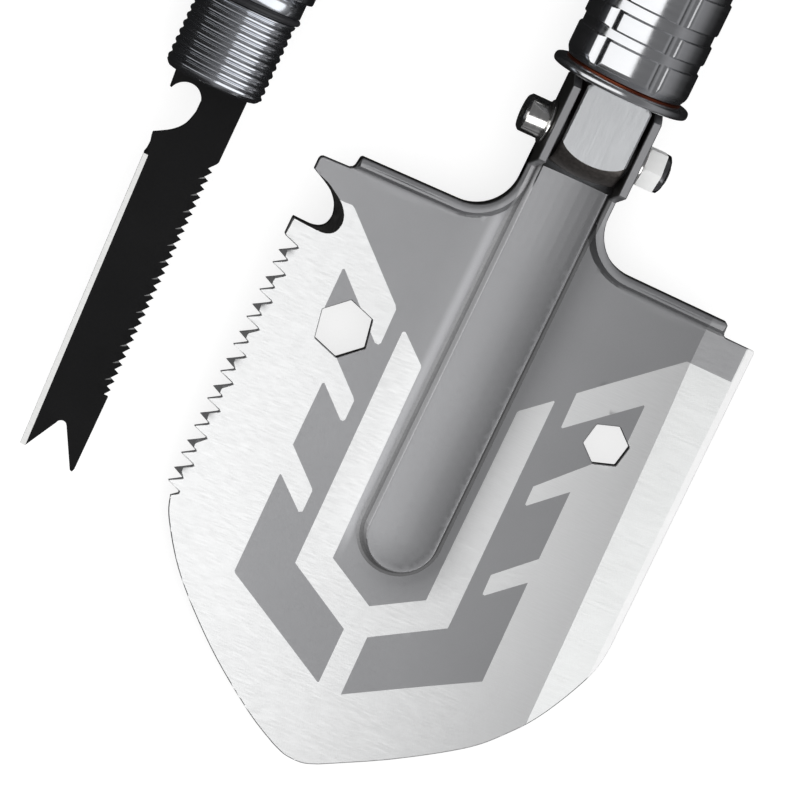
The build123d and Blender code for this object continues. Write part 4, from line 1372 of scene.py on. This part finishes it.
def pale_floor():
    mat, nodes, links, shader = new_material("floor_paper")
    cloud = noise(nodes, links, 3.0)
    links.new(ramp(nodes, links, cloud, [0.40] * 3, [0.43] * 3), shader.inputs["Base Color"])
    shader.inputs["Roughness"].default_value = 0.9
    shader.inputs["Emission Color"].default_value = (1, 1, 1, 1)
    shader.inputs["Emission Strength"].default_value = FLOOR_GLOW
    mesh = bpy.data.meshes.new("floor")
    corners = [(x * FLOOR_HALF, y * FLOOR_HALF, 0) for x, y in ((-1, -1), (1, -1), (1, 1), (-1, 1))]
    mesh.from_pydata(corners, [], [(0, 1, 2, 3)])
    mesh.materials.append(mat)
    floor = add_object("floor", mesh)
    floor.location.z = -FLOOR_DROP
    floor.visible_glossy = False


WHITE = (1.0, 1.0, 1.0)
COOL = (0.95, 0.97, 1.0)
LIGHT_CENTRE = Vector((0, -0.05, 0.01))


def softbox(name, direction, distance, width, height, radiance, tint, receivers):
    """An area light that faces the object and lights only its receivers, given by its direction and
    by how bright its face is."""
    light = bpy.data.lights.new(name, "AREA")
    light.shape = "RECTANGLE"
    light.size = width
    light.size_y = height
    light.color = tint
    light.energy = radiance * math.pi * width * height
    lamp = add_object(name, light)
    toward = Vector(direction).normalized()
    lamp.location = LIGHT_CENTRE + toward * distance
    lamp.rotation_euler = toward.to_track_quat("Z", "Y").to_euler()
    group = bpy.data.collections.new(name + "_on")
    for piece in receivers:
        group.objects.link(bpy.data.objects[piece])
    lamp.light_linking.receiver_collection = group


ROOM = ((-180, 0.01), (-95, 0.01), (-66, 0.02), (-16, 0.10), (-12, 0.13), (32, 0.13), (52, 0.24),
        (76, 0.17), (96, 0.05), (118, 0.01))


def world_light():
    """White for the floor and for dull pieces; polished ones see a room that changes from left to right."""
    world = bpy.data.worlds.new("studio")
    bpy.context.scene.world = world
    world.use_nodes = True
    nodes, links = world.node_tree.nodes, world.node_tree.links
    nodes.clear()
    axes = split_axes(nodes, links, "Generated")
    lean = math_node(nodes, links, "ARCTAN2", axes["X"], axes["Z"])
    turn = nodes.new("ShaderNodeMapRange")
    turn.inputs["From Min"].default_value = -math.pi
    turn.inputs["From Max"].default_value = math.pi
    links.new(lean, turn.inputs["Value"])
    room = nodes.new("ShaderNodeValToRGB")
    while len(room.color_ramp.elements) < len(ROOM):
        room.color_ramp.elements.new(0.5)
    for element, (angle, level) in zip(room.color_ramp.elements, ROOM):
        element.position = (angle + 180) / 360
        element.color = (level, level, level * 1.03, 1)
    links.new(turn.outputs["Result"], room.inputs["Fac"])
    gloss = nodes.new("ShaderNodeBackground")
    links.new(room.outputs["Color"], gloss.inputs["Color"])
    ambient = nodes.new("ShaderNodeBackground")
    ambient.inputs["Color"].default_value = (1, 1, 1, 1)
    ambient.inputs["Strength"].default_value = 1.0
    path = nodes.new("ShaderNodeLightPath")
    mix = nodes.new("ShaderNodeMixShader")
    links.new(path.outputs["Is Glossy Ray"], mix.inputs["Fac"])
    links.new(ambient.outputs["Background"], mix.inputs[1])
    links.new(gloss.outputs["Background"], mix.inputs[2])
    output = nodes.new("ShaderNodeOutputWorld")
    links.new(mix.outputs["Shader"], output.inputs["Surface"])


SATIN_PIECES = ["blade_body", "knuckle_body", "pivot_nut_domed"]
BOLT_PIECES = ["pivot_bolt_turned", "pivot_washer_pair"]
BRIGHT_PIECES = ["collar_fluted", "lock_flange", "lock_washer", *BOLT_PIECES, "front_tube_knurled",
                 "grip_tube_knurled", "cap_seal_ring", "butt_cap_scalloped"]
HOLDER_PIECES = ["holder_threaded", "holder_seal", "grip_ferrule_turned"]
pale_floor()
world_light()
softbox("blade_key", (0.60, -0.47, 1.0), 1.2, 0.85, 1.1, 1.3, WHITE, SATIN_PIECES)
softbox("bolt_key", (0.18, -0.42, 1.0), 0.9, 0.6, 0.6, 2.0, WHITE, BOLT_PIECES)
softbox("chrome_left", (-0.82, -0.1, 1.0), 0.9, 0.55, 1.4, 1.0, WHITE, BRIGHT_PIECES)
softbox("holder_left", (-1.3, -0.1, 1.0), 0.9, 0.2, 1.4, 0.5, COOL, HOLDER_PIECES)
softbox("holder_right", (0.6, -0.1, 1.0), 0.9, 1.05, 1.4, 1.0, COOL, HOLDER_PIECES)

VIEW_AZIMUTH = -10.0
VIEW_ELEVATION = 5.0
VIEW_ROLL = 25.15
VIEW_DISTANCE = 3.0
VIEW_TARGET = Vector((0.0107, -0.1137, 0.012))
LENS = 413.775
SENSOR = 36.0


def photo_camera():
    data = bpy.data.cameras.new("photo_view")
    data.sensor_width = SENSOR
    data.lens = LENS
    data.clip_end = 30.0
    camera = add_object("photo_view", data)
    aside, below = (math.tan(math.radians(angle)) for angle in (VIEW_AZIMUTH, VIEW_ELEVATION))
    back = Vector((aside, below, 1.0)).normalized()
    right = Vector((0, 1, 0)).cross(back).normalized()
    up = back.cross(right)
    roll = math.radians(VIEW_ROLL)
    image_right = right * math.cos(roll) + up * math.sin(roll)
    image_up = up * math.cos(roll) - right * math.sin(roll)
    turn = Matrix((image_right, image_up, back)).transposed().to_4x4()
    camera.matrix_world = Matrix.Translation(VIEW_TARGET + back * VIEW_DISTANCE) @ turn
    bpy.context.scene.camera = camera


photo_camera()
bpy.context.scene.view_settings.view_transform = "Standard"
